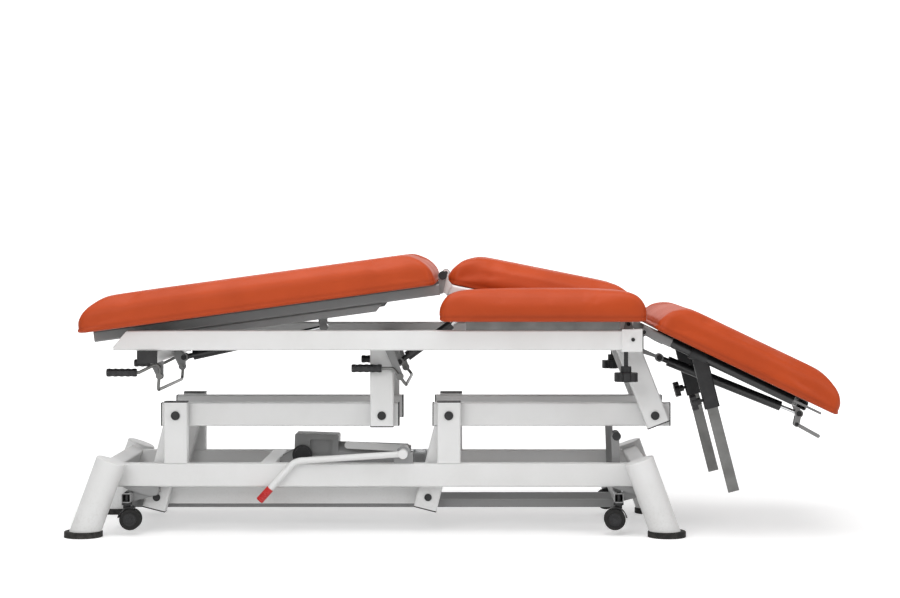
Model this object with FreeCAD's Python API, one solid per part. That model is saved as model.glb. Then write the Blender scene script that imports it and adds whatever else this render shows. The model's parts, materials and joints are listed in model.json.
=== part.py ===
import FreeCAD, Part
import math
import os

V = FreeCAD.Vector

# Massage table in millimetres, +Z up, near side at -Y, foot end at -X, head end at +X.
# Lengthwise places are measured from the foot-end base pivot and shifted by ORIGIN_X,
# so that the middle of the whole table stands at X = 0 on the floor.

# Clearances
RUN = 0.08
SEAT = 0.3
CAP_PLATE = 3.0
CAP_SPIGOT = 14.0

# Base: rails, legs, feet, uprights
RAIL_DEPTH = 30.0
RAIL_HEIGHT = 60.0
RAIL_TOP_Z = 180.0
RAIL_Y = 160.0
TUBE_WALL = 2.0
TUBE_CORNER = 5.0
LEG_RADIUS = 38.0
LEG_WALL = 3.0
LEG_TILT = 20.0
LEG_Y = 215.0
LEG_TOP_Z = 193.0
FOOT_HEIGHT = 15.0
FOOT_RIM = 8.0
FOOT_END_LEG_X = -226.0
HEAD_END_LEG_X = 1249.0
END_TUBE_LENGTHWISE = 40.0
END_TUBE_HEIGHT = 56.0
END_TUBE_Z = 157.0
UPRIGHT_WIDTH = 60.0
UPRIGHT_TOP_Z = 335.0
PUMP_TUBE_X = 232.0
PUMP_TUBE_WIDTH = 40.0
PUMP_TUBE_HEIGHT = 40.0

# Lift: two bell-crank pairs, pivot to pivot
PIVOT_Z = 302.0
PIVOT_SPACING = 697.0
ARM_LENGTH = 526.0
ARM_DEPTH = 36.0
ARM_HEIGHT = 60.0
ARM_Y = 122.0
ARM_OVERHANG = 40.0
CRANK_BACK = 54.0
CRANK_DROP = 213.0
CRANK_OVERHANG = 30.0
PIVOT_PIN_R = 8.0
PIVOT_CAP_R = 11.0
PIVOT_WASHER_R = 17.0
ROD_THICKNESS = 8.0
ROD_HEIGHT = 42.0
ROD_Y = 96.0
ROD_PIN_R = 7.0
CROSS_SHAFT_R = 11.0
RAM_PIN_SHARE = 0.592

# Upper frame
MAIN_RAIL_DEPTH = 30.0
MAIN_RAIL_HEIGHT = 50.0
MAIN_RAIL_Y = 255.0
MAIN_RAIL_BOTTOM_Z = 473.5
MAIN_RAIL_FOOT_X = -141.0
MAIN_RAIL_HEAD_X = 1183.0
MAIN_RAIL_SLANT = 36.0
CROSS_WIDTH = 60.0
CROSS_HEIGHT = 20.0
UNDER_TUBE_X = -55.0
UNDER_TUBE_WIDTH = 51.0
UNDER_TUBE_HEIGHT = 32.0
ROLLER_X = -14.0
ROLLER_R = 10.0
POST_WIDTH = 60.0
POST_DEPTH = 30.0
POST_BOTTOM_GAP = 27.0
SLANT_POST_TILT = 21.4
SLANT_POST_OVERHANG = 24.0
COLLAR_LENGTH = 51.0
COLLAR_WALL = 3.0

# Sections: hinge places, slopes and cushions
CENTRE_HINGE_X = 1155.0
CENTRE_HINGE_Z = 536.0
CENTRE_SLOPE = 11.3
PEAK_BACK = 488.0
PEAK_UP = 29.0
PEAK_PIN_R = 5.0
EAR_R = 10.0
EAR_THICKNESS = 7.0
LEG_SLOPE = 7.8
HEAD_HINGE_X = 1190.0
HEAD_HINGE_Z = 518.0
HEAD_SLOPE = 25.5
PAD_THICKNESS = 80.0
PAD_ROUND = 12.0
PAD_TIP = 26.0
NOSE_SHORT = 70.0
NOSE_LONG = 96.0
PAD_HALF_WIDTH = 310.0
FLAT_PAD_BOTTOM_Z = 545.0
LEG_PAD_LENGTH = 911.0
LEG_FRAME_INSET = 28.0
LEG_PAD_GAP = 13.0
CENTRE_PAD_LENGTH = 503.0
CENTRE_PAD_AHEAD = 26.0
CENTRE_PAD_HALF_WIDTH = 168.0
SIDE_PAD_INNER_Y = 180.0
SIDE_PAD_FOOT_X = 684.0
SIDE_PAD_LENGTH = 512.0
SIDE_PAD_BOTTOM_Z = 546.0
SIDE_RAIL_DEPTH = 20.0
SIDE_RAIL_FOOT_X = 742.0
SIDE_RAIL_LENGTH = 386.0
HEAD_PAD_LENGTH = 515.0
HEAD_PAD_DROP = 8.0
HEAD_PAD_GAP = 10.0
SECTION_TUBE = 28.0
LEG_TUBE_Y = 195.0
LEG_STIFFENER = 20.0
CENTRE_TUBE_Y = 159.0
HEAD_TUBE_Y = 217.5
HEAD_TUBE_R = 12.5
HEAD_ARM_LENGTH = 75.0
HEAD_TUBE_LENGTH = 340.0
HEAD_PLATE_LENGTH = 77.0

# Gas springs
SPRING_BARREL_R = 13.0
SPRING_ROD_R = 5.0
SPRING_PIN_R = 4.0
SPRING_EYE_R = 11.0
SPRING_EYE_HALF = 8.0
SPRING_PLAY = 4.3
LUG_THICKNESS = 6.0
LEG_SPRING_LOW = V(-4.0, 0.0, 441.0)
LEG_SPRING_HIGH = V(364.0, 0.0, 521.0)
CENTRE_SPRING_LOW = V(564.5, 0.0, 429.0)
CENTRE_SPRING_HIGH = V(800.0, 0.0, 600.0)
HEAD_SPRING_LOW = V(1248.7, 0.0, 439.7)
HEAD_SPRING_HIGH = V(1616.3, 0.0, 292.4)

# Hydraulic unit and its pedal lever
PUMP_PIVOT = V(311.0, 0.0, 188.0)
PUMP_BLOCK_BACK = 22.0
PUMP_BLOCK_FRONT = 93.0
PUMP_BLOCK_HALF_Y = 34.0
PUMP_BLOCK_BELOW = 26.0
PUMP_BLOCK_ABOVE = 54.0
BARREL_R = 34.0
BARREL_BORE_R = 24.0
BARREL_LENGTH = 182.0
RAM_R = 16.0
RAM_PLAY = 6.0
RAM_SIDE_PLAY = 1.2
PEDAL_PIVOT_X = 581.0
PEDAL_PIVOT_Z = 206.0
PEDAL_Y = 190.0
PEDAL_TUBE_R = 8.0
PEDAL_BEND_BACK = 275.0
PEDAL_TIP_BACK = 360.0
PEDAL_TIP_DROP = 113.0
PEDAL_TIP_R = 10.0

# Wheel carriers and casters
CARRIER_PIVOT_X = -54.0
CARRIER_SPACING = 1250.0
CARRIER_PIVOT_Z = 108.0
CARRIER_REACH = 67.0
CARRIER_TUBE = 24.0
CARRIER_TUBE_Z = 95.0
CARRIER_ARM_DEPTH = 16.0
LINK_DROP = 43.0
LINK_Y = 70.0
LINK_WIDTH = 10.0
LINK_HEIGHT = 20.0
CASTER_Y = 190.0
CASTER_TRAIL = 10.0
WHEEL_R = 27.0
WHEEL_WIDTH = 11.5
WHEEL_CENTRE_Z = 41.0
WHEEL_GAP = 11.0
STEM_R = 5.5
LEVER_Y = 130.0
LEVER_TOP_BACK = 72.0
LEVER_TOP_RISE = 143.0
LEVER_WIDTH = 20.0
LEVER_THICKNESS = 8.0
LEVER_PEG = 50.0

# Support bars, knobs and release bails
BAR_WIDTH = 28.0
BAR_DEPTH = 12.0
BAR_TILT = 14.4
BAR_LENGTH = 318.0
BAR_FOOT = V(1418.0, 0.0, 115.0)
BAR_Y = 190.0
SLEEVE_WALL = 5.0
SLEEVE_LENGTH = 104.0
KNOB_R = 21.0
BIG_KNOB_R = 30.0
BIG_KNOB_X = 1143.0
BAIL_ROD_R = 4.0
BAIL_GRIP_R = 9.0
BAIL_HALF_WIDTH = 192.0
BAIL_SEAM = 30.0


def unit(angle):
    """Direction in the XZ plane at an angle from +X towards +Z, in degrees."""
    return V(math.cos(math.radians(angle)), 0, math.sin(math.radians(angle)))


def slope_of(start, end):
    """Angle of the line between two points in the XZ plane, in degrees."""
    return math.degrees(math.atan2(end.z - start.z, end.x - start.x))


def turned_point(point, pivot, angle):
    """Point turned about a crosswise axis, positive from +X towards +Z."""
    arm = point - pivot
    c = math.cos(math.radians(angle))
    s = math.sin(math.radians(angle))
    return pivot + V(arm.x * c - arm.z * s, arm.y, arm.x * s + arm.z * c)


# Places worked out from the driving dimensions
PEAK_PIN = turned_point(V(CENTRE_HINGE_X - PEAK_BACK, 0, CENTRE_HINGE_Z + PEAK_UP),
                        V(CENTRE_HINGE_X, 0, CENTRE_HINGE_Z), -CENTRE_SLOPE)
CENTRE_HINGE = V(CENTRE_HINGE_X, 0, CENTRE_HINGE_Z)
HEAD_HINGE = V(HEAD_HINGE_X, 0, HEAD_HINGE_Z)
FOOT_PIVOT = V(0, 0, PIVOT_Z)
HEAD_PIVOT = V(PIVOT_SPACING, 0, PIVOT_Z)
CRANK_VECTOR = V(-CRANK_BACK, 0, -CRANK_DROP)
RAM_PIN = HEAD_PIVOT + CRANK_VECTOR * RAM_PIN_SHARE
RAIL_BOTTOM_Z = RAIL_TOP_Z - RAIL_HEIGHT
MAIN_RAIL_TOP_Z = MAIN_RAIL_BOTTOM_Z + MAIN_RAIL_HEIGHT
LEG_PAD_BELOW = CENTRE_HINGE_Z + PEAK_UP - FLAT_PAD_BOTTOM_Z
CENTRE_PAD_ABOVE = FLAT_PAD_BOTTOM_Z - CENTRE_HINGE_Z
HEAD_PAD_ABOVE = FLAT_PAD_BOTTOM_Z - HEAD_HINGE_Z - HEAD_PAD_DROP
HEAD_PAD_TIP = turned_point(
    HEAD_HINGE + V(HEAD_PAD_GAP + HEAD_PAD_LENGTH, 0, HEAD_PAD_ABOVE + PAD_TIP),
    HEAD_HINGE, -HEAD_SLOPE)
FOOT_HALF_LENGTH = LEG_RADIUS / math.cos(math.radians(LEG_TILT)) + FOOT_RIM
ORIGIN_X = -(FOOT_END_LEG_X - FOOT_HALF_LENGTH + HEAD_PAD_TIP.x) / 2


def block(x0, x1, y0, y1, z0, z1):
    """Box between two corners."""
    return Part.makeBox(x1 - x0, y1 - y0, z1 - z0, V(x0, y0, z0))


def rod_y(centre, y0, y1, radius):
    """Cylinder along Y through a point in the XZ plane."""
    return Part.makeCylinder(radius, y1 - y0, V(centre.x, y0, centre.z), V(0, 1, 0))


def rod_z(x, y, z0, z1, radius):
    """Upright cylinder."""
    return Part.makeCylinder(radius, z1 - z0, V(x, y, z0), V(0, 0, 1))


def rod_between(start, end, radius):
    """Cylinder between two points."""
    return Part.makeCylinder(radius, (end - start).Length, start, end - start)


def placed(shape, point, angle):
    """Shape drawn at the origin, turned in the XZ plane and moved to a point."""
    copy = shape.copy()
    copy.rotate(V(0, 0, 0), V(0, -1, 0), angle)
    copy.translate(point)
    return copy


def mirrored(shape):
    """The same shape on the far side of the table."""
    return shape.mirror(V(0, 0, 0), V(0, 1, 0))


def both_sides(shapes):
    """Near-side shapes followed by their far-side twins."""
    return list(shapes) + [mirrored(shape) for shape in shapes]


def edges_along(shape, direction):
    """Straight edges of a shape that run along a direction."""
    found = []
    for edge in shape.Edges:
        if isinstance(edge.Curve, Part.Line) and abs(abs(edge.Curve.Direction.dot(direction)) - 1) < 1e-6:
            found.append(edge)
    return found


def solid_bar(length, depth, height, corner=TUBE_CORNER):
    """Bar along +X from the origin, centred in Y and Z, with rounded long corners."""
    bar = block(0, length, -depth / 2, depth / 2, -height / 2, height / 2)
    return bar.makeFillet(min(corner, depth / 3, height / 3), edges_along(bar, V(1, 0, 0)))


def hollow_bar(length, depth, height, wall=TUBE_WALL, corner=TUBE_CORNER):
    """Rectangular tube along +X from the origin."""
    half_y = depth / 2 - wall
    half_z = height / 2 - wall
    return solid_bar(length, depth, height, corner).cut(
        block(-1, length + 1, -half_y, half_y, -half_z, half_z))


def tube_between(start, end, depth, height, wall=TUBE_WALL, corner=TUBE_CORNER):
    """Rectangular tube between two points at one Y; height is measured across it in XZ."""
    bar = hollow_bar((end - start).Length, depth, height, wall, corner)
    return placed(bar, start, slope_of(start, end))


def cross_tube(x, z, half_length, width, height, tilt=0.0, wall=TUBE_WALL):
    """Rectangular tube that lies across the table, centred at x and z."""
    bar = hollow_bar(2 * half_length, width, height, wall)
    bar.rotate(V(0, 0, 0), V(0, 0, 1), 90)
    bar.translate(V(0, -half_length, 0))
    return placed(bar, V(x, 0, z), tilt)


def end_cap(start, angle, y, depth, height, wall=TUBE_WALL):
    """Plastic cap on a tube end: a plate outside and a spigot inside the bore."""
    plate = block(-CAP_PLATE, 0, -depth / 2, depth / 2, -height / 2, height / 2)
    plate = plate.makeFillet(min(TUBE_CORNER, depth / 3), edges_along(plate, V(1, 0, 0)))
    half_y = depth / 2 - wall - SEAT
    half_z = height / 2 - wall - SEAT
    spigot = block(0, CAP_SPIGOT, -half_y, half_y, -half_z, half_z)
    cap = placed(plate.fuse(spigot), start, angle)
    cap.translate(V(0, y, 0))
    return cap


def turned(steps):
    """Turned piece along +Z from the origin; steps are (radius, length) pairs."""
    z = 0.0
    points = [V(0, 0, 0)]
    for radius, length in steps:
        points.append(V(radius, 0, z))
        z += length
        points.append(V(radius, 0, z))
    points.append(V(0, 0, z))
    points.append(points[0])
    face = Part.Face(Part.makePolygon(points))
    return face.revolve(V(0, 0, 0), V(0, 0, 1), 360)


def pin_y(centre, y_start, steps):
    """Turned pin along +Y from y_start through a point in the XZ plane."""
    pin = turned(steps)
    pin.rotate(V(0, 0, 0), V(1, 0, 0), -90)
    pin.translate(V(centre.x, y_start, centre.z))
    return pin


def bent_path(points, bend):
    """Wire of straight runs joined by tangent arcs of one radius."""
    edges = []
    start = points[0]
    for before, corner, after in zip(points, points[1:], points[2:]):
        inward = (corner - before).normalize()
        outward = (after - corner).normalize()
        half_turn = inward.getAngle(outward) / 2
        setback = bend * math.tan(half_turn)
        enter = corner - inward * setback
        leave = corner + outward * setback
        middle = corner + (outward - inward).normalize() * (bend / math.cos(half_turn) - bend)
        edges.append(Part.LineSegment(start, enter).toShape())
        edges.append(Part.Arc(enter, middle, leave).toShape())
        start = leave
    edges.append(Part.LineSegment(start, points[-1]).toShape())
    return Part.Wire(edges)


def bent_rod(points, radius, bend):
    """Round rod bent along a path."""
    path = bent_path(points, bend)
    circle = Part.Circle(points[0], points[1] - points[0], radius)
    profile = Part.Wire([circle.toShape()])
    return Part.Wire(path.Edges).makePipeShell([profile], True, False)


def plate_outline(points, y0, y1):
    """Flat plate in the XZ plane between two Y places."""
    corners = [V(point.x, y0, point.z) for point in points]
    face = Part.Face(Part.makePolygon(corners + [corners[0]]))
    return face.extrude(V(0, y1 - y0, 0))


def strap(start, end, radius, y0, y1):
    """Flat link plate with round ends about two points."""
    along = (end - start).normalize()
    side = V(-along.z, 0, along.x) * radius
    body = plate_outline([start + side, end + side, end - side, start - side], y0, y1)
    body = body.fuse(rod_y(start, y0, y1, radius))
    return body.fuse(rod_y(end, y0, y1, radius)).removeSplitter()


def leg_axis_point(leg_x, lean, z):
    """Point on a leg's axis at a height; lean is +1 when the top leans to +X."""
    return V(leg_x + lean * z * math.tan(math.radians(LEG_TILT)), 0, z)


def floor_leg(leg_x, lean):
    """Round leg on the near side, closed at its top, cut flat above its rubber foot."""
    length = LEG_TOP_Z / math.cos(math.radians(LEG_TILT))
    tube = Part.makeCylinder(LEG_RADIUS, length)
    tube = tube.makeFillet(3.0, [edge for edge in tube.Edges if abs(edge.BoundBox.ZMin - length) < 0.01
                                 and edge.Closed and edge.BoundBox.ZLength < 0.01])
    bore = Part.makeCylinder(LEG_RADIUS - LEG_WALL, length - LEG_WALL, V(0, 0, -LEG_WALL))
    leg = tube.cut(bore)
    leg.rotate(V(0, 0, 0), V(0, 1, 0), lean * LEG_TILT)
    leg.translate(V(leg_x, -LEG_Y, 0))
    reach = 2 * LEG_RADIUS
    below = block(leg_x - reach, leg_x + reach, -LEG_Y - reach, -LEG_Y + reach, -reach, FOOT_HEIGHT)
    return leg.cut(below)


def rubber_foot(leg_x):
    """Oval rubber foot on the near side, under one leg."""
    major = FOOT_HALF_LENGTH
    minor = LEG_RADIUS + FOOT_RIM
    outline = Part.Wire([Part.Ellipse(V(leg_x, -LEG_Y, 0), major, minor).toShape()])
    foot = Part.Face(outline).extrude(V(0, 0, FOOT_HEIGHT))
    top = [edge for edge in foot.Edges if edge.BoundBox.ZMin > FOOT_HEIGHT - 0.01]
    return foot.makeFillet(3.0, top)


def end_tube(leg_x, lean):
    """Cross tube between a pair of legs, tilted with them and coped to their round sides."""
    centre = leg_axis_point(leg_x, lean, END_TUBE_Z)
    tube = cross_tube(centre.x, centre.z, LEG_Y, END_TUBE_LENGTHWISE, END_TUBE_HEIGHT, -lean * LEG_TILT)
    for side in (-1, 1):
        leg = Part.makeCylinder(LEG_RADIUS + SEAT, 2 * LEG_TOP_Z, V(0, 0, -LEG_TOP_Z / 2))
        leg.rotate(V(0, 0, 0), V(0, 1, 0), lean * LEG_TILT)
        leg.translate(V(leg_x, side * LEG_Y, 0))
        tube = tube.cut(leg)
    return max(tube.Solids, key=lambda solid: solid.Volume)


def base_rail():
    """Near-side base rail, its ends cut to the tilted end tubes."""
    start = V(FOOT_END_LEG_X, -RAIL_Y, RAIL_TOP_Z - RAIL_HEIGHT / 2)
    end = V(HEAD_END_LEG_X, -RAIL_Y, start.z)
    rail = tube_between(start, end, RAIL_DEPTH, RAIL_HEIGHT)
    for leg_x, lean in ((FOOT_END_LEG_X, 1), (HEAD_END_LEG_X, -1)):
        reach = 3 * RAIL_HEIGHT
        outside = block(-reach, END_TUBE_LENGTHWISE / 2, -RAIL_DEPTH, RAIL_DEPTH, -reach, reach)
        if lean < 0:
            outside = outside.mirror(V(0, 0, 0), V(1, 0, 0))
        centre = leg_axis_point(leg_x, lean, END_TUBE_Z)
        centre.y = -RAIL_Y
        rail = rail.cut(placed(outside, centre, -lean * LEG_TILT))
    return rail


def upright(x):
    """Near-side upright on the base rail, bored for a lift pivot."""
    centre_z = (RAIL_TOP_Z + UPRIGHT_TOP_Z) / 2
    foot = V(x, -RAIL_Y, RAIL_TOP_Z)
    top = V(x, -RAIL_Y, UPRIGHT_TOP_Z)
    tube = tube_between(foot, top, RAIL_DEPTH, UPRIGHT_WIDTH)
    hole = rod_y(V(x, 0, PIVOT_Z), -RAIL_Y - RAIL_DEPTH, -RAIL_Y + RAIL_DEPTH, PIVOT_PIN_R + RUN)
    return tube.cut(hole), end_cap(V(x, 0, UPRIGHT_TOP_Z), -90, -RAIL_Y, RAIL_DEPTH, UPRIGHT_WIDTH)


def lift_pin(centre, outer_y, inner_y, arm_gap_y):
    """Pivot pin: round cap outside, shaft, washer in the gap beside the arm."""
    arm_outer_y = -ARM_Y - ARM_DEPTH / 2
    washer = arm_outer_y - SEAT - arm_gap_y
    steps = [
        (PIVOT_CAP_R, CAP_PLATE),
        (PIVOT_PIN_R, arm_gap_y - outer_y),
        (PIVOT_WASHER_R, washer),
        (PIVOT_PIN_R, inner_y - arm_gap_y - washer),
    ]
    return pin_y(centre, outer_y - CAP_PLATE, steps)


def frame_pin(centre):
    """Near-side lift pin held in an upright or a support post."""
    post_outer_y = -RAIL_Y - RAIL_DEPTH / 2
    post_inner_y = -RAIL_Y + RAIL_DEPTH / 2
    return lift_pin(centre, post_outer_y, -ARM_Y + ARM_DEPTH / 2 + CAP_PLATE, post_inner_y)


def carrier_gusset(pivot_x):
    """Pair of near-side plates under the base rail that hold a carrier pin."""
    pivot = V(pivot_x, 0, CARRIER_PIVOT_Z)
    boss = CARRIER_TUBE / 2 + 1.0
    plates = []
    half_gap = CARRIER_ARM_DEPTH / 2 + 1.0
    for outer in (-1, 1):
        inner_y = -RAIL_Y + outer * half_gap
        outer_y = -RAIL_Y + outer * RAIL_DEPTH / 2
        low, high = sorted((inner_y, outer_y))
        outline = [
            V(pivot_x - 80, 0, RAIL_BOTTOM_Z),
            V(pivot_x - 64, 0, RAIL_BOTTOM_Z - 8),
            V(pivot_x - 6, 0, CARRIER_PIVOT_Z - boss + 1),
            V(pivot_x + boss - 2, 0, CARRIER_PIVOT_Z - 4),
            V(pivot_x + boss - 2, 0, RAIL_BOTTOM_Z),
        ]
        plate = plate_outline(outline, low, high)
        plates.append(plate.cut(rod_y(pivot, low - 1, high + 1, STEM_R + RUN)))
    return plates


def pedal_bearing():
    """Plate on the near base rail that carries the pedal lever's shaft."""
    pivot = V(PEDAL_PIVOT_X, 0, PEDAL_PIVOT_Z)
    low = -RAIL_Y - 12.0
    high = -RAIL_Y + 12.0
    foot = block(pivot.x - 24, pivot.x + 24, low, high, RAIL_TOP_Z, PEDAL_PIVOT_Z)
    body = foot.fuse(rod_y(pivot, low, high, PEDAL_TUBE_R + 10)).removeSplitter()
    return body.cut(rod_y(pivot, low - 1, high + 1, PEDAL_TUBE_R + RUN))


def pump_lugs():
    """Pair of plates on the pump cross tube with the cylinder's base pin."""
    tube_face = PUMP_TUBE_X + PUMP_TUBE_WIDTH / 2
    pin_radius = PIVOT_PIN_R
    inner = PUMP_BLOCK_HALF_Y + SEAT + 1.0
    outer = inner + LUG_THICKNESS
    low_z = RAIL_TOP_Z - PUMP_TUBE_HEIGHT
    outline = [
        V(tube_face, 0, low_z),
        V(tube_face, 0, RAIL_TOP_Z),
        V(PUMP_PIVOT.x - 10, 0, PUMP_PIVOT.z + 17),
        V(PUMP_PIVOT.x + 12, 0, PUMP_PIVOT.z + 14),
        V(PUMP_PIVOT.x + 18, 0, PUMP_PIVOT.z - 6),
        V(PUMP_PIVOT.x + 4, 0, PUMP_PIVOT.z - 19),
    ]
    lug = plate_outline(outline, -outer, -inner)
    lug = lug.cut(rod_y(PUMP_PIVOT, -outer - 1, -inner + 1, pin_radius + RUN))
    steps = [
        (20.0, CAP_PLATE),
        (pin_radius, 2 * outer),
        (20.0, CAP_PLATE),
    ]
    pin = pin_y(PUMP_PIVOT, -outer - CAP_PLATE, steps)
    ring = rod_y(PUMP_PIVOT, -outer - CAP_PLATE - 1, -outer, 26.0)
    ring = ring.cut(rod_y(PUMP_PIVOT, -outer - 2 * CAP_PLATE, -outer + 1, 20.0 + SEAT))
    return both_sides([lug]), pin, ring


def base_nodes():
    """Everything that stands on the floor and doesn't move."""
    legs = []
    feet = []
    for leg_x, lean in ((FOOT_END_LEG_X, 1), (HEAD_END_LEG_X, -1)):
        legs.append(floor_leg(leg_x, lean))
        feet.append(rubber_foot(leg_x))
    half_inside = RAIL_Y - RAIL_DEPTH / 2
    pump_tube = cross_tube(PUMP_TUBE_X, RAIL_TOP_Z - PUMP_TUBE_HEIGHT / 2, half_inside,
                           PUMP_TUBE_WIDTH, PUMP_TUBE_HEIGHT)
    uprights = []
    caps = []
    pins = []
    for pivot in (FOOT_PIVOT, HEAD_PIVOT):
        tube, cap = upright(pivot.x)
        uprights.append(tube)
        caps.append(cap)
        pins.append(frame_pin(pivot))
    gussets = carrier_gusset(CARRIER_PIVOT_X) + carrier_gusset(CARRIER_PIVOT_X + CARRIER_SPACING)
    lugs, pump_pin, ring = pump_lugs()
    return {
        "base_rails": both_sides([base_rail()]),
        "base_end_tubes": [end_tube(FOOT_END_LEG_X, 1), end_tube(HEAD_END_LEG_X, -1)],
        "pump_cross_tube": [pump_tube],
        "floor_legs": both_sides(legs),
        "rubber_feet": both_sides(feet),
        "uprights": both_sides(uprights),
        "upright_caps": both_sides(caps),
        "base_pivot_pins": both_sides(pins),
        "carrier_gussets": both_sides(gussets),
        "pump_lugs": lugs,
        "pump_base_pin": [pump_pin],
        "pump_pin_ring": [ring],
        "pedal_bearing": [pedal_bearing()],
    }


def lift_arm(pivot):
    """Near-side lift arm tube with its end caps and both pivot holes."""
    y0 = -ARM_Y - ARM_DEPTH
    y1 = -ARM_Y + ARM_DEPTH
    far = pivot + V(ARM_LENGTH, 0, 0)
    start = V(pivot.x - ARM_OVERHANG, -ARM_Y, pivot.z)
    end = V(far.x + ARM_OVERHANG, -ARM_Y, pivot.z)
    tube = tube_between(start, end, ARM_DEPTH, ARM_HEIGHT)
    for hole in (pivot, far):
        tube = tube.cut(rod_y(hole, y0, y1, PIVOT_PIN_R + RUN))
    caps = [
        end_cap(V(start.x, 0, pivot.z), 0, -ARM_Y, ARM_DEPTH, ARM_HEIGHT),
        end_cap(V(end.x, 0, pivot.z), 180, -ARM_Y, ARM_DEPTH, ARM_HEIGHT),
    ]
    return tube, caps


def crank(pivot):
    """Near-side crank tube welded under the arm, with its cap and its rod pin."""
    tip = pivot + CRANK_VECTOR
    along = (tip - pivot).normalize()
    end = tip + along * CRANK_OVERHANG
    start = V(end.x, -ARM_Y, end.z)
    finish = V(pivot.x, -ARM_Y, pivot.z)
    tube = tube_between(start, finish, ARM_DEPTH, ARM_HEIGHT)
    arm_bottom = pivot.z - ARM_HEIGHT / 2
    above = block(pivot.x - 200, pivot.x + 200, -ARM_Y - ARM_DEPTH, -ARM_Y + ARM_DEPTH, arm_bottom, pivot.z + 200)
    tube = tube.cut(above)
    y0 = -ARM_Y - ARM_DEPTH
    y1 = -ARM_Y + ARM_DEPTH
    tube = tube.cut(rod_y(tip, y0, y1, ROD_PIN_R + RUN))
    cap = end_cap(V(end.x, 0, end.z), slope_of(end, pivot), -ARM_Y, ARM_DEPTH, ARM_HEIGHT)
    outer_y = -ARM_Y - ARM_DEPTH / 2
    inner_y = -ARM_Y + ARM_DEPTH / 2
    rod_outer_y = -ROD_Y - ROD_THICKNESS / 2
    steps = [
        (ROD_PIN_R + 2.5, 2.5),
        (ROD_PIN_R, inner_y - outer_y),
        (ROD_PIN_R + 5, rod_outer_y - SEAT - inner_y),
        (ROD_PIN_R, ROD_THICKNESS + 2 * SEAT),
        (ROD_PIN_R + 5, CAP_PLATE),
    ]
    return tube, cap, pin_y(tip, outer_y - 2.5, steps)


def arm_pair(pivot):
    """Arm and crank tubes, caps, rod pins and cross shaft of one bell-crank pair."""
    arm, caps = lift_arm(pivot)
    crank_tube, crank_cap, rod_pin = crank(pivot)
    middle = pivot + CRANK_VECTOR * RAM_PIN_SHARE
    inner = ARM_Y - ARM_DEPTH / 2
    shaft = rod_y(middle, -inner, inner, CROSS_SHAFT_R)
    return {
        "arms": both_sides([arm, crank_tube]),
        "caps": both_sides(caps + [crank_cap]),
        "pins": both_sides([rod_pin]),
        "shaft": [shaft],
    }


def connecting_rod():
    """Near-side flat bar that joins the two cranks."""
    foot = FOOT_PIVOT + CRANK_VECTOR
    head = HEAD_PIVOT + CRANK_VECTOR
    y0 = -ROD_Y - ROD_THICKNESS / 2
    y1 = -ROD_Y + ROD_THICKNESS / 2
    bar = strap(foot, head, ROD_HEIGHT / 2, y0, y1)
    for centre in (foot, head):
        bar = bar.cut(rod_y(centre, y0 - 1, y1 + 1, ROD_PIN_R + RUN))
    return bar


def lift_nodes():
    """Both bell-crank pairs and the rods between them."""
    nodes = {}
    for name, pivot in (("foot", FOOT_PIVOT), ("head", HEAD_PIVOT)):
        pair = arm_pair(pivot)
        nodes["lift_arms_" + name] = pair["arms"]
        nodes["arm_caps_" + name] = pair["caps"]
        nodes["rod_pins_" + name] = pair["pins"]
        nodes["cross_shaft_" + name] = pair["shaft"]
    nodes["connecting_rods"] = both_sides([connecting_rod()])
    return nodes


def main_rail():
    """Near-side main rail with a slanted foot end, and the collar and cap at its head end."""
    y = -MAIN_RAIL_Y
    centre_z = MAIN_RAIL_BOTTOM_Z + MAIN_RAIL_HEIGHT / 2
    rail = tube_between(V(MAIN_RAIL_FOOT_X, y, centre_z), V(MAIN_RAIL_HEAD_X, y, centre_z),
                        MAIN_RAIL_DEPTH, MAIN_RAIL_HEIGHT)
    slant = plate_outline([
        V(MAIN_RAIL_FOOT_X - 1, 0, MAIN_RAIL_BOTTOM_Z + 8),
        V(MAIN_RAIL_FOOT_X + MAIN_RAIL_SLANT, 0, MAIN_RAIL_TOP_Z + 1),
        V(MAIN_RAIL_FOOT_X - 1, 0, MAIN_RAIL_TOP_Z + 1),
    ], y - MAIN_RAIL_DEPTH, y + MAIN_RAIL_DEPTH)
    rail = rail.cut(slant)
    rail = rail.cut(rod_z(BIG_KNOB_X, y, MAIN_RAIL_BOTTOM_Z - 1, MAIN_RAIL_BOTTOM_Z + 10, STEM_R))
    return rail, end_cap(V(MAIN_RAIL_HEAD_X, 0, centre_z), 180, y, MAIN_RAIL_DEPTH, MAIN_RAIL_HEIGHT)


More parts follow.
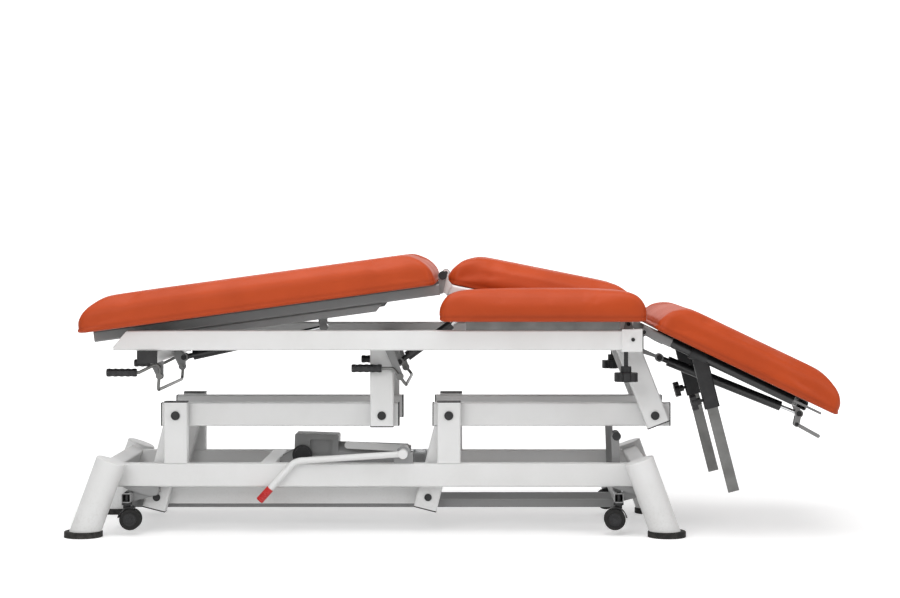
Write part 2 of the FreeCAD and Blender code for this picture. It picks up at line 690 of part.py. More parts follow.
def support_posts():
    """Near-side upright post and slanted post under the cross members, with their caps."""
    pivot = FOOT_PIVOT + V(ARM_LENGTH, 0, 0)
    bottom = V(pivot.x, -RAIL_Y, pivot.z - POST_BOTTOM_GAP)
    top = V(pivot.x, -RAIL_Y, MAIN_RAIL_BOTTOM_Z)
    upright_post = tube_between(bottom, top, POST_DEPTH, POST_WIDTH)
    pivot_2 = HEAD_PIVOT + V(ARM_LENGTH, 0, 0)
    along = unit(90 + SLANT_POST_TILT)
    foot = pivot_2 - along * SLANT_POST_OVERHANG
    reach = (MAIN_RAIL_BOTTOM_Z - foot.z) / along.z + POST_WIDTH / 2
    slanted = tube_between(V(foot.x, -RAIL_Y, foot.z), V(foot.x, -RAIL_Y, foot.z) + along * reach,
                           POST_DEPTH, POST_WIDTH)
    over = block(foot.x - 300, foot.x + 100, -RAIL_Y - POST_DEPTH, -RAIL_Y + POST_DEPTH,
                 MAIN_RAIL_BOTTOM_Z, MAIN_RAIL_BOTTOM_Z + 100)
    slanted = slanted.cut(over)
    posts = []
    for post, centre in ((upright_post, pivot), (slanted, pivot_2)):
        hole = rod_y(centre, -RAIL_Y - POST_DEPTH, -RAIL_Y + POST_DEPTH, PIVOT_PIN_R + RUN)
        posts.append(post.cut(hole))
    caps = [
        end_cap(V(bottom.x, 0, bottom.z), 90, -RAIL_Y, POST_DEPTH, POST_WIDTH),
        end_cap(foot, 90 + SLANT_POST_TILT, -RAIL_Y, POST_DEPTH, POST_WIDTH),
    ]
    return posts, caps, [frame_pin(pivot), frame_pin(pivot_2)]


def front_cross_x():
    """Place of the cross member over the slanted posts."""
    pivot = HEAD_PIVOT + V(ARM_LENGTH, 0, 0)
    return pivot.x - (MAIN_RAIL_BOTTOM_Z - pivot.z) * math.tan(math.radians(SLANT_POST_TILT))


def lug_pair(outline, pin_centre, inner_half):
    """Two plates either side of a spring eye, with the pin through them."""
    outer = inner_half + LUG_THICKNESS
    lug = plate_outline(outline, -outer, -inner_half)
    lug = lug.fuse(rod_y(pin_centre, -outer, -inner_half, SPRING_EYE_R)).removeSplitter()
    lug = lug.cut(rod_y(pin_centre, -outer - 1, -inner_half + 1, SPRING_PIN_R + RUN))
    steps = [
        (SPRING_PIN_R + 3, CAP_PLATE),
        (SPRING_PIN_R, 2 * outer),
        (SPRING_PIN_R + 3, CAP_PLATE),
    ]
    return both_sides([lug]), pin_y(pin_centre, -outer - CAP_PLATE, steps)


def tapered_lug(root_x, z0, z1, pin_centre):
    """Outline of a plate from an upright face at root_x to a pin."""
    half = SPRING_EYE_R * 0.8
    return [V(root_x, 0, z0), V(root_x, 0, z1), V(pin_centre.x, 0, pin_centre.z + half),
            V(pin_centre.x, 0, pin_centre.z - half)]


def hanging_lug(x0, x1, root_z, pin_centre):
    """Outline of a plate from a level face at root_z to a pin."""
    half = SPRING_EYE_R * 0.8
    return [V(x0, 0, root_z), V(x1, 0, root_z), V(pin_centre.x + half, 0, pin_centre.z),
            V(pin_centre.x - half, 0, pin_centre.z)]


def spring_brackets():
    """Lower lugs and pins of the three gas springs on the upper frame."""
    eye = SPRING_EYE_HALF + SEAT
    under_face = UNDER_TUBE_X + UNDER_TUBE_WIDTH / 2
    leg_lugs, leg_pin = lug_pair(
        tapered_lug(under_face, MAIN_RAIL_BOTTOM_Z - UNDER_TUBE_HEIGHT, MAIN_RAIL_BOTTOM_Z, LEG_SPRING_LOW),
        LEG_SPRING_LOW, eye)
    rear_x = ARM_LENGTH
    centre_lugs, centre_pin = lug_pair(
        hanging_lug(rear_x - 10, rear_x + 28, MAIN_RAIL_BOTTOM_Z, CENTRE_SPRING_LOW), CENTRE_SPRING_LOW, eye)
    head_lugs, head_pin = lug_pair(
        hanging_lug(front_cross_x() - 26, front_cross_x() + 28, MAIN_RAIL_BOTTOM_Z, HEAD_SPRING_LOW),
        HEAD_SPRING_LOW, eye)
    return leg_lugs + centre_lugs + head_lugs, [leg_pin, centre_pin, head_pin]


def centre_hinge_lug():
    """Near-side lug on the front cross member, with the centre section's hinge pin."""
    y0 = -CENTRE_TUBE_Y - SECTION_TUBE / 2 - SEAT - EAR_THICKNESS
    y1 = y0 + EAR_THICKNESS - SEAT
    base_z = MAIN_RAIL_BOTTOM_Z + CROSS_HEIGHT
    radius = EAR_R - 1
    lug = plate_outline([
        V(CENTRE_HINGE.x - 20, 0, base_z), V(CENTRE_HINGE.x + 20, 0, base_z),
        V(CENTRE_HINGE.x + radius, 0, CENTRE_HINGE.z), V(CENTRE_HINGE.x - radius, 0, CENTRE_HINGE.z)], y0, y1)
    lug = lug.fuse(rod_y(CENTRE_HINGE, y0, y1, radius)).removeSplitter()
    lug = lug.cut(rod_y(CENTRE_HINGE, y0 - 1, y1 + 1, PEAK_PIN_R + RUN))
    pin = pin_y(CENTRE_HINGE, y0, [(PEAK_PIN_R, SECTION_TUBE + 2 * EAR_THICKNESS)])
    return lug, pin


def head_hinge_lug():
    """Near-side plate on the inner face of the main rail, with the head section's hinge pin."""
    rail_face = -MAIN_RAIL_Y + MAIN_RAIL_DEPTH / 2
    y1 = rail_face + LUG_THICKNESS
    plate = plate_outline([
        V(HEAD_HINGE.x - 50, 0, MAIN_RAIL_BOTTOM_Z + CROSS_HEIGHT + SEAT), V(HEAD_HINGE.x - 50, 0, MAIN_RAIL_TOP_Z - 4),
        V(HEAD_HINGE.x, 0, HEAD_HINGE.z + EAR_R), V(HEAD_HINGE.x + EAR_R, 0, HEAD_HINGE.z),
        V(HEAD_HINGE.x + 2, 0, HEAD_HINGE.z - EAR_R)], rail_face, y1)
    plate = plate.cut(rod_y(HEAD_HINGE, rail_face - 1, y1 + 1, PEAK_PIN_R + RUN))
    arm_inner = -HEAD_TUBE_Y + HEAD_TUBE_R
    return plate, pin_y(HEAD_HINGE, rail_face, [(PEAK_PIN_R, arm_inner + CAP_PLATE - rail_face)])


def upper_nodes():
    """The lifted frame: rails, posts, cross members, brackets and side cushions."""
    rail, rail_cap = main_rail()
    posts, caps, pins = support_posts()
    inside = MAIN_RAIL_Y - MAIN_RAIL_DEPTH / 2
    cross_z = MAIN_RAIL_BOTTOM_Z + CROSS_HEIGHT / 2
    outside = MAIN_RAIL_Y + MAIN_RAIL_DEPTH / 2
    under_z = MAIN_RAIL_BOTTOM_Z - UNDER_TUBE_HEIGHT / 2
    members = [
        cross_tube(ARM_LENGTH, cross_z, inside, CROSS_WIDTH, CROSS_HEIGHT),
        cross_tube(front_cross_x(), cross_z, inside, CROSS_WIDTH, CROSS_HEIGHT),
        cross_tube(UNDER_TUBE_X, under_z, outside, UNDER_TUBE_WIDTH, UNDER_TUBE_HEIGHT),
    ]
    roller = rod_y(V(ROLLER_X, 0, MAIN_RAIL_BOTTOM_Z + ROLLER_R), -inside, inside, ROLLER_R)
    under_cap = block(-CAP_PLATE, 0, -UNDER_TUBE_WIDTH / 2, UNDER_TUBE_WIDTH / 2,
                      -UNDER_TUBE_HEIGHT / 2, UNDER_TUBE_HEIGHT / 2)
    under_cap.rotate(V(0, 0, 0), V(0, 0, 1), 90)
    under_cap.translate(V(UNDER_TUBE_X, -outside, under_z))
    brackets, bracket_pins = spring_brackets()
    centre_lug, centre_pin = centre_hinge_lug()
    head_lug, head_pin = head_hinge_lug()
    side_y = -MAIN_RAIL_Y + 3
    side_rail = block(SIDE_RAIL_FOOT_X, SIDE_RAIL_FOOT_X + SIDE_RAIL_LENGTH, side_y - SIDE_RAIL_DEPTH / 2,
                      side_y + SIDE_RAIL_DEPTH / 2, MAIN_RAIL_TOP_Z, SIDE_PAD_BOTTOM_Z - SEAT)
    side_pad = pad(SIDE_PAD_FOOT_X, SIDE_PAD_FOOT_X + SIDE_PAD_LENGTH, -PAD_HALF_WIDTH, -SIDE_PAD_INNER_Y,
                   SIDE_PAD_BOTTOM_Z, NOSE_SHORT, NOSE_SHORT)
    return {
        "main_rails": both_sides([rail]),
        "main_rail_caps": both_sides([rail_cap, under_cap]),
        "cross_members": members,
        "leg_section_roller": [roller],
        "support_posts": both_sides(posts),
        "post_caps": both_sides(caps),
        "upper_pivot_pins": both_sides(pins),
        "spring_brackets": brackets,
        "spring_pins": bracket_pins,
        "hinge_lugs": both_sides([centre_lug, head_lug]),
        "hinge_pins": both_sides([centre_pin, head_pin]),
        "side_pad_rails": both_sides([side_rail]),
        "side_pad_near": [side_pad],
        "side_pad_far": [mirrored(side_pad)],
    }


def nose_arc(tip_x, inward, length, z0):
    """Arc of a pad's end in the XZ plane, from the tip up to the flat top."""
    drop = PAD_THICKNESS - PAD_TIP
    radius = (length * length + drop * drop) / (2 * drop)
    half = math.asin(length / radius) / 2
    middle = V(tip_x + inward * (length - radius * math.sin(half)), 0,
               z0 + PAD_THICKNESS - radius + radius * math.cos(half))
    return Part.Arc(V(tip_x, 0, z0 + PAD_TIP), middle, V(tip_x + inward * length, 0, z0 + PAD_THICKNESS)).toShape()


def pad(x0, x1, y0, y1, z0, low_nose, high_nose):
    """Cushion with rounded ends and edges."""
    top = z0 + PAD_THICKNESS
    tip = z0 + PAD_TIP
    low = nose_arc(x0, 1, low_nose, z0)
    high = nose_arc(x1, -1, high_nose, z0)
    roof = Part.LineSegment(V(x0 + low_nose, 0, top), V(x1 - high_nose, 0, top)).toShape()
    right = Part.LineSegment(V(x1, 0, tip), V(x1, 0, z0)).toShape()
    floor = Part.LineSegment(V(x1, 0, z0), V(x0, 0, z0)).toShape()
    left = Part.LineSegment(V(x0, 0, z0), V(x0, 0, tip)).toShape()
    outline = Part.Wire([low, roof, high, right, floor, left])
    body = Part.Face(outline).extrude(V(0, y1 - y0, 0))
    body.translate(V(0, y0, 0))
    return body.makeFillet(PAD_ROUND, body.Edges)


def section_tube(x0, x1, y, z_top, height):
    """Lengthwise frame tube of a section, in the section's own place about its hinge."""
    bar = hollow_bar(x1 - x0, SECTION_TUBE, height)
    bar.translate(V(x0, y, z_top - height / 2))
    return bar


def section_cross(x, z_top, half_length, width, height):
    """Crosswise frame tube of a section."""
    return cross_tube(x, z_top - height / 2, half_length, width, height)


def centre_section():
    """Centre section about its hinge: tubes, ears, peak pins and spring lug."""
    top = CENTRE_PAD_ABOVE
    foot_x = -PEAK_BACK + 18
    tube = section_tube(foot_x, 12, -CENTRE_TUBE_Y, top, SECTION_TUBE)
    tube = tube.cut(rod_y(V(0, 0, 0), -CENTRE_TUBE_Y - 50, -CENTRE_TUBE_Y + 50, PEAK_PIN_R + RUN))
    inside = CENTRE_TUBE_Y - SECTION_TUBE / 2
    tip = V(-PEAK_BACK, 0, PEAK_UP)
    centre_ear = plate_outline([V(foot_x, 0, top - SECTION_TUBE + 2), V(foot_x + 10, 0, top), V(tip.x + 7, 0, tip.z),
                                V(tip.x - 7, 0, tip.z), V(tip.x + 4, 0, top - SECTION_TUBE + 6)],
                               -CENTRE_PAD_HALF_WIDTH - 3 - EAR_THICKNESS, -CENTRE_PAD_HALF_WIDTH - 3)
    ear_outer = -CENTRE_PAD_HALF_WIDTH - 3 - EAR_THICKNESS
    centre_ear = centre_ear.fuse(rod_y(tip, ear_outer, ear_outer + EAR_THICKNESS, EAR_R)).removeSplitter()
    centre_ear = centre_ear.cut(tube)
    centre_ear = centre_ear.cut(rod_y(tip, ear_outer - 1, ear_outer + EAR_THICKNESS + 1, PEAK_PIN_R + RUN))
    centre_ear = max(centre_ear.Solids, key=lambda solid: solid.Volume)
    leg_ear_outer = ear_outer - 3 - EAR_THICKNESS
    pin = pin_y(tip, leg_ear_outer - SEAT - 5, [
        (PIVOT_CAP_R, 5.0),
        (PEAK_PIN_R, ear_outer + EAR_THICKNESS - leg_ear_outer),
    ])
    spring_u = turned_point(CENTRE_SPRING_HIGH, CENTRE_HINGE, CENTRE_SLOPE) - CENTRE_HINGE
    crosses = [
        section_cross(foot_x + 40, top, inside, SECTION_TUBE, SECTION_TUBE),
        section_cross(spring_u.x + 42, top, inside, SECTION_TUBE, SECTION_TUBE),
        section_cross(-30, top, inside, SECTION_TUBE, 20.0),
    ]
    face = spring_u.x + 42 - SECTION_TUBE / 2
    lugs, spring_pin = lug_pair(tapered_lug(face, top - SECTION_TUBE, top, spring_u), spring_u,
                                SPRING_EYE_HALF + SEAT)
    cushion = pad(CENTRE_PAD_AHEAD - CENTRE_PAD_LENGTH, CENTRE_PAD_AHEAD, -CENTRE_PAD_HALF_WIDTH,
                  CENTRE_PAD_HALF_WIDTH, top + SEAT, NOSE_SHORT, NOSE_SHORT)
    nodes = {
        "centre_frame": both_sides([tube]) + crosses,
        "centre_ears": both_sides([centre_ear]),
        "peak_pins": both_sides([pin]),
        "centre_spring_lugs": lugs,
        "centre_spring_pin": [spring_pin],
        "centre_pad": [cushion],
    }
    return moved(nodes, CENTRE_HINGE, -CENTRE_SLOPE)


def leg_section():
    """Leg section about the peak pin: tubes, stiffeners, ears, spring lugs and cushion."""
    top = -LEG_PAD_BELOW
    foot_x = -LEG_PAD_GAP - LEG_PAD_LENGTH + LEG_FRAME_INSET
    tube = section_tube(foot_x, -EAR_R - 3, -LEG_TUBE_Y, top, SECTION_TUBE)
    stiff_x0 = foot_x + 168
    stiff_x1 = -161.0
    low = top - SECTION_TUBE
    stiffener = hollow_bar(stiff_x1 - stiff_x0, SECTION_TUBE, LEG_STIFFENER)
    stiffener.translate(V(stiff_x0, -LEG_TUBE_Y, low - LEG_STIFFENER / 2))
    step = plate_outline([V(stiff_x1 - LEG_STIFFENER, 0, low - LEG_STIFFENER - 1), V(stiff_x1 + 1, 0, low),
                          V(stiff_x1 + 1, 0, low - LEG_STIFFENER - 1)], -LEG_TUBE_Y - 30, -LEG_TUBE_Y + 30)
    stiffener = stiffener.cut(step)
    ear_outer = -CENTRE_PAD_HALF_WIDTH - 3 - 2 * EAR_THICKNESS - 3
    tip = V(0, 0, 0)
    leg_ear = plate_outline([V(-34, 0, low + 2), V(-34, 0, top), V(-9, 0, 7), V(7, 0, 7), V(8, 0, -6),
                             V(-6, 0, low + 2)], ear_outer, ear_outer + EAR_THICKNESS)
    leg_ear = leg_ear.fuse(rod_y(tip, ear_outer, ear_outer + EAR_THICKNESS, EAR_R)).removeSplitter()
    leg_ear = leg_ear.cut(tube)
    cushion = pad(-LEG_PAD_GAP - LEG_PAD_LENGTH, -LEG_PAD_GAP, -PAD_HALF_WIDTH, PAD_HALF_WIDTH, top + SEAT,
                  NOSE_LONG, NOSE_SHORT)
    leg_ear = leg_ear.cut(block(-100, -LEG_PAD_GAP + SEAT, ear_outer - 1, ear_outer + 20, top, top + 60))
    leg_ear = leg_ear.cut(rod_y(tip, ear_outer - 1, ear_outer + EAR_THICKNESS + 1, PEAK_PIN_R + RUN))
    leg_ear = max(leg_ear.Solids, key=lambda solid: solid.Volume)
    inside = LEG_TUBE_Y - SECTION_TUBE / 2
    spring_u = turned_point(LEG_SPRING_HIGH, PEAK_PIN, -LEG_SLOPE) - PEAK_PIN
    crosses = [
        section_cross(foot_x + SECTION_TUBE / 2, top, inside, SECTION_TUBE, SECTION_TUBE),
        section_cross(spring_u.x, top, inside, SECTION_TUBE, SECTION_TUBE),
        section_cross(-60, top, inside, SECTION_TUBE, SECTION_TUBE),
    ]
    lugs, spring_pin = lug_pair(hanging_lug(spring_u.x - 14, spring_u.x + 14, low, spring_u), spring_u,
                                SPRING_EYE_HALF + SEAT)
    nodes = {
        "leg_frame": both_sides([tube, stiffener]) + crosses,
        "leg_ears": both_sides([leg_ear]),
        "leg_spring_lugs": lugs,
        "leg_spring_pin": [spring_pin],
        "leg_pad": [cushion],
    }
    return moved(nodes, PEAK_PIN, LEG_SLOPE)


def moved(nodes, point, angle):
    """Nodes drawn about a hinge, put in their rest place."""
    return {name: [placed(shape, point, angle) for shape in shapes] for name, shapes in nodes.items()}


def lobed_knob(bolt_r, bolt_length, hub_r, hub_length, star_r, star_length):
    """Six-lobed knob along +Z, starting at the tip of its bolt."""
    knob = turned([(bolt_r, bolt_length), (hub_r, hub_length), (star_r, star_length)])
    root = bolt_length + hub_length
    for step in range(6):
        angle = math.radians(60 * step)
        reach = star_r * 1.12
        notch = Part.makeCylinder(star_r * 0.3, star_length + 2,
                                  V(reach * math.cos(angle), reach * math.sin(angle), root - 1))
        knob = knob.cut(notch)
    return knob


def aimed(shape, start, direction):
    """Shape drawn along +Z, put at a point and aimed along a direction."""
    copy = shape.copy()
    copy.Placement = FreeCAD.Placement(start, FreeCAD.Rotation(V(0, 0, 1), direction))
    return copy


def elbow_clamp(tube_start, tube_end):
    """Near-side clamp: a collar on the head tube and a sleeve for the support bar."""
    up = unit(90 + BAR_TILT)
    foot = V(BAR_FOOT.x, -HEAD_TUBE_Y, BAR_FOOT.z)
    low = foot + up * (BAR_LENGTH - SLEEVE_LENGTH + 4)
    depth = BAR_DEPTH + 2 * SLEEVE_WALL
    width = BAR_WIDTH + 2 * SLEEVE_WALL
    sleeve = placed(solid_bar(SLEEVE_LENGTH + 34, depth, width, 4.0), low, 90 + BAR_TILT)
    half_y = BAR_DEPTH / 2 + SEAT
    half_w = BAR_WIDTH / 2 + SEAT
    slot = placed(block(-1, SLEEVE_LENGTH, -half_y, half_y, -half_w, half_w), low, 90 + BAR_TILT)
    along = (tube_end - tube_start).normalize()
    top = low + up * (SLEEVE_LENGTH + 34)
    nearest = tube_start + along * (top - tube_start).dot(along)
    collar = rod_between(nearest - along * 22, nearest + along * 22, HEAD_TUBE_R + SLEEVE_WALL)
    bore = rod_between(tube_start, tube_end, HEAD_TUBE_R + RUN)
    under_pad = placed(block(0, HEAD_TUBE_LENGTH + 200, -HEAD_TUBE_Y - 60, -HEAD_TUBE_Y + 60,
                             HEAD_PAD_ABOVE - SEAT, HEAD_PAD_ABOVE + 60), HEAD_HINGE, -HEAD_SLOPE)
    clamp = sleeve.fuse(collar).cut(bore).cut(slot).cut(under_pad)
    clamp = max(clamp.Solids, key=lambda solid: solid.Volume)
    knob_axis = unit(180 + BAR_TILT)
    knob_start = low + up * 24 + knob_axis * (BAR_WIDTH / 2 + SEAT)
    clamp = clamp.cut(rod_between(knob_start - knob_axis, knob_start + knob_axis * 10, BAIL_ROD_R + RUN))
    knob = aimed(lobed_knob(BAIL_ROD_R, 9.0, 9.0, 11.0, KNOB_R, 15.0), knob_start, knob_axis)
    bar = placed(solid_bar(BAR_LENGTH, BAR_DEPTH, BAR_WIDTH, 2.0), foot, 90 + BAR_TILT)
    return clamp, knob, bar


def head_place(u, w, y=0.0):
    """World place of a point of the head section given about its hinge."""
    point = turned_point(HEAD_HINGE + V(u, 0, w), HEAD_HINGE, -HEAD_SLOPE)
    point.y = y
    return point


def head_nodes():
    """Head section: hinge arms, round tubes, end frame, clamps, bars, knobs and cushion."""
    top = HEAD_PAD_ABOVE
    depth = 2 * HEAD_TUBE_R
    arm_top = top - 3.0
    arm_low = -7.0
    arm = hollow_bar(HEAD_ARM_LENGTH + 7, depth, arm_top - arm_low)
    arm.translate(V(-7, -HEAD_TUBE_Y, (arm_top + arm_low) / 2))
    arm = arm.cut(rod_y(V(0, 0, 0), -HEAD_TUBE_Y - 50, -HEAD_TUBE_Y + 50, PEAK_PIN_R + RUN))
    tube_end = HEAD_ARM_LENGTH + HEAD_TUBE_LENGTH
    axis_w = top - HEAD_TUBE_R
    round_tube = Part.makeCylinder(HEAD_TUBE_R, HEAD_TUBE_LENGTH, V(HEAD_ARM_LENGTH, -HEAD_TUBE_Y, axis_w), V(1, 0, 0))
    bore = Part.makeCylinder(HEAD_TUBE_R - TUBE_WALL, HEAD_TUBE_LENGTH, V(HEAD_ARM_LENGTH, -HEAD_TUBE_Y, axis_w),
                             V(1, 0, 0))
    plate = block(tube_end, tube_end + HEAD_PLATE_LENGTH, -HEAD_TUBE_Y - HEAD_TUBE_R, -HEAD_TUBE_Y + HEAD_TUBE_R,
                  axis_w - 3, axis_w + 3)
    inside = HEAD_TUBE_Y - HEAD_TUBE_R
    end_x = tube_end + 28
    crosses = [
        section_cross(HEAD_ARM_LENGTH - 30, arm_top, inside, SECTION_TUBE, depth),
        section_cross(end_x, top, inside, SECTION_TUBE, depth),
    ]
    spring_u = turned_point(HEAD_SPRING_HIGH, HEAD_HINGE, HEAD_SLOPE) - HEAD_HINGE
    lugs, spring_pin = lug_pair(tapered_lug(end_x + SECTION_TUBE / 2, top - depth, top, spring_u), spring_u,
                                SPRING_EYE_HALF + SEAT)
    cushion = pad(HEAD_PAD_GAP, HEAD_PAD_GAP + HEAD_PAD_LENGTH, -PAD_HALF_WIDTH, PAD_HALF_WIDTH, top + SEAT,
                  NOSE_SHORT, NOSE_LONG)
    nodes = moved({
        "head_hinge_arms": both_sides([arm]),
        "head_round_tubes": both_sides([round_tube.cut(bore)]),
        "head_end_plates": both_sides([plate]),
        "head_cross_tubes": crosses,
        "head_spring_pin": [spring_pin],
        "head_pad": [cushion],
    }, HEAD_HINGE, -HEAD_SLOPE)
    lever_pivot = HEAD_SPRING_HIGH + V(-6, 0, -28)
    lever_tip = HEAD_SPRING_HIGH + V(52, 0, -60)
    y_in = SPRING_EYE_HALF + SEAT
    ears = []
    for lug in (placed(shape, HEAD_HINGE, -HEAD_SLOPE) for shape in lugs):
        side = -1 if lug.BoundBox.YMax < 0 else 1
        y0, y1 = sorted((side * y_in, side * (y_in + LUG_THICKNESS)))
        ear_plate = strap(HEAD_SPRING_HIGH, lever_pivot, 7.0, y0, y1)
        ear_plate = ear_plate.cut(rod_y(HEAD_SPRING_HIGH, y0 - 1, y1 + 1, SPRING_PIN_R + RUN))
        joined = lug.fuse(ear_plate).removeSplitter()
        ears.append(joined.cut(rod_y(lever_pivot, y0 - 1, y1 + 1, 3.0 + RUN)))
    nodes["head_spring_lugs"] = ears
    half = y_in + LUG_THICKNESS
    nodes["head_lever_pin"] = [pin_y(lever_pivot, -half - 2, [(5.0, 2.0), (3.0, 2 * half), (5.0, 2.0)])]
    lever = strap(lever_pivot, lever_tip, 5.0, -3.0, 3.0).cut(rod_y(lever_pivot, -4, 4, 3.0 + RUN))
    nodes["head_release_lever"] = [lever]
    clamp, knob, bar = elbow_clamp(head_place(HEAD_ARM_LENGTH, axis_w, -HEAD_TUBE_Y),
                                   head_place(tube_end, axis_w, -HEAD_TUBE_Y))
    nodes["elbow_clamps"] = both_sides([clamp])
    nodes["clamp_knob_near"] = [knob]
    nodes["clamp_knob_far"] = [mirrored(knob)]
    nodes["support_bar_near"] = [bar]
    nodes["support_bar_far"] = [mirrored(bar)]
    return nodes


def gas_spring(low, high, barrel_end, rod_start):
    """Gas spring between two pins: barrel on the low pin, rod to the high pin."""
    length = (high - low).Length
    hole_half = SPRING_EYE_HALF + 1
    barrel = Part.makeCylinder(SPRING_BARREL_R, barrel_end - 24, V(24, 0, 0), V(1, 0, 0))
    barrel = barrel.fuse(Part.makeCylinder(7.0, 26, V(0, 0, 0), V(1, 0, 0)))
    barrel = barrel.fuse(rod_y(V(0, 0, 0), -SPRING_EYE_HALF, SPRING_EYE_HALF, SPRING_EYE_R)).removeSplitter()
    barrel = barrel.cut(rod_y(V(0, 0, 0), -hole_half, hole_half, SPRING_PIN_R + RUN))
    barrel = barrel.cut(Part.makeCylinder(8.0, barrel_end - 44, V(36, 0, 0), V(1, 0, 0)))
    barrel = barrel.cut(Part.makeCylinder(SPRING_ROD_R + RUN, 20, V(barrel_end - 12, 0, 0), V(1, 0, 0)))
    rod = Part.makeCylinder(SPRING_ROD_R, length - rod_start - 7, V(rod_start, 0, 0), V(1, 0, 0))
    rod = rod.fuse(rod_y(V(length, 0, 0), -SPRING_EYE_HALF, SPRING_EYE_HALF, SPRING_EYE_R)).removeSplitter()
    rod = rod.cut(rod_y(V(length, 0, 0), -hole_half, hole_half, SPRING_PIN_R + SPRING_PLAY))
    angle = slope_of(low, high)
    return [placed(barrel, low, angle)], [placed(rod, low, angle)]


def pump_nodes():
    """Hydraulic unit: pump block and barrel on the base pin, ram on the head crank's shaft."""
    length = (RAM_PIN - PUMP_PIVOT).Length
    angle = slope_of(PUMP_PIVOT, RAM_PIN)
    half = PUMP_BLOCK_HALF_Y
    body = block(-PUMP_BLOCK_BACK, PUMP_BLOCK_FRONT, -half, half, -PUMP_BLOCK_BELOW, PUMP_BLOCK_ABOVE)
    body = body.makeFillet(5.0, edges_along(body, V(0, 1, 0)))
    recess = block(18, PUMP_BLOCK_FRONT - 16, -half - 1, -half + 10, 0, PUMP_BLOCK_ABOVE - 14)
    body = body.cut(recess.makeFillet(4.0, edges_along(recess, V(0, 1, 0))))
    body = body.cut(rod_y(V(0, 0, 0), -half - 1, half + 1, PIVOT_PIN_R + RUN))
    mouth = PUMP_BLOCK_FRONT + BARREL_LENGTH
    barrel = Part.makeCylinder(BARREL_R, BARREL_LENGTH, V(PUMP_BLOCK_FRONT, 0, 0), V(1, 0, 0))
    barrel = barrel.cut(Part.makeCylinder(BARREL_BORE_R, BARREL_LENGTH, V(PUMP_BLOCK_FRONT, 0, 0), V(1, 0, 0)))
    gland = Part.makeCylinder(BARREL_R - 3, 7.0, V(mouth, 0, 0), V(1, 0, 0))
    gland = gland.cut(Part.makeCylinder(RAM_R + RUN, 9.0, V(mouth - 1, 0, 0), V(1, 0, 0)))
    ram_start = PUMP_BLOCK_FRONT + 20
    head_start = length - 66
    ram = Part.makeCylinder(RAM_R, head_start + 4 - ram_start, V(ram_start, 0, 0), V(1, 0, 0))
    end_block = block(head_start, length - 30, -22, 22, -22, 22)
    end_block = end_block.makeFillet(3.0, end_block.Edges)
    eye = strap(V(length - 32, 0, 0), V(length, 0, 0), CROSS_SHAFT_R + 13, -14, 14)
    slot = strap(V(length, 0, -RAM_PLAY), V(length, 0, RAM_PLAY), CROSS_SHAFT_R + RAM_SIDE_PLAY, -15, 15)
    ram_end = end_block.fuse(eye).removeSplitter().cut(slot)
    ram = ram.cut(end_block)
    names = {
        "pump_block": [body],
        "pump_barrel": [barrel],
        "pump_gland": [gland],
        "pump_ram": [ram],
        "ram_end": [ram_end],
    }
    return moved(names, PUMP_PIVOT, angle)


def pedal_nodes():
    """Foot lever that works the pump: bent tube, tip, hub with shaft, and inner arm."""
    y = -PEDAL_Y
    pivot = V(PEDAL_PIVOT_X, 0, PEDAL_PIVOT_Z)
    start = V(pivot.x, y, pivot.z)
    bend = V(pivot.x - PEDAL_BEND_BACK, y, pivot.z - 18)
    tip = V(pivot.x - PEDAL_TIP_BACK, y, pivot.z - PEDAL_TIP_DROP)
    tube = bent_rod([start, bend, tip], PEDAL_TUBE_R, 40.0)
    arm_y = -PUMP_BLOCK_HALF_Y - 20
    shaft = rod_y(pivot, y - PEDAL_TUBE_R - 2, arm_y + 8, PEDAL_TUBE_R)
    hub = rod_y(pivot, y - PEDAL_TUBE_R - 2, -RAIL_Y - 12 - SEAT, PEDAL_TUBE_R + 4)
    arm = strap(pivot, pivot + V(-150, 0, 8), 9.0, arm_y, arm_y + 8)
    roller = rod_y(pivot + V(-150, 0, 8), arm_y, arm_y + 16, 9.0)
    lever = tube.fuse(shaft).fuse(hub).fuse(arm).fuse(roller).removeSplitter()
    cap = rod_y(pivot, y - PEDAL_TUBE_R - 2 - CAP_PLATE, y - PEDAL_TUBE_R - 2, PIVOT_CAP_R)
    along = (tip - bend).normalize()
    sleeve = rod_between(tip - along * 34, tip + along * 8, PEDAL_TIP_R)
    sleeve = sleeve.makeFillet(2.5, sleeve.Edges[0:1] + sleeve.Edges[2:3])
    sleeve = sleeve.cut(rod_between(tip - along * 40, tip + along * 0.05, PEDAL_TUBE_R + RUN))
    return {"pedal_lever": [lever], "pedal_cap": [cap], "pedal_tip": [sleeve]}


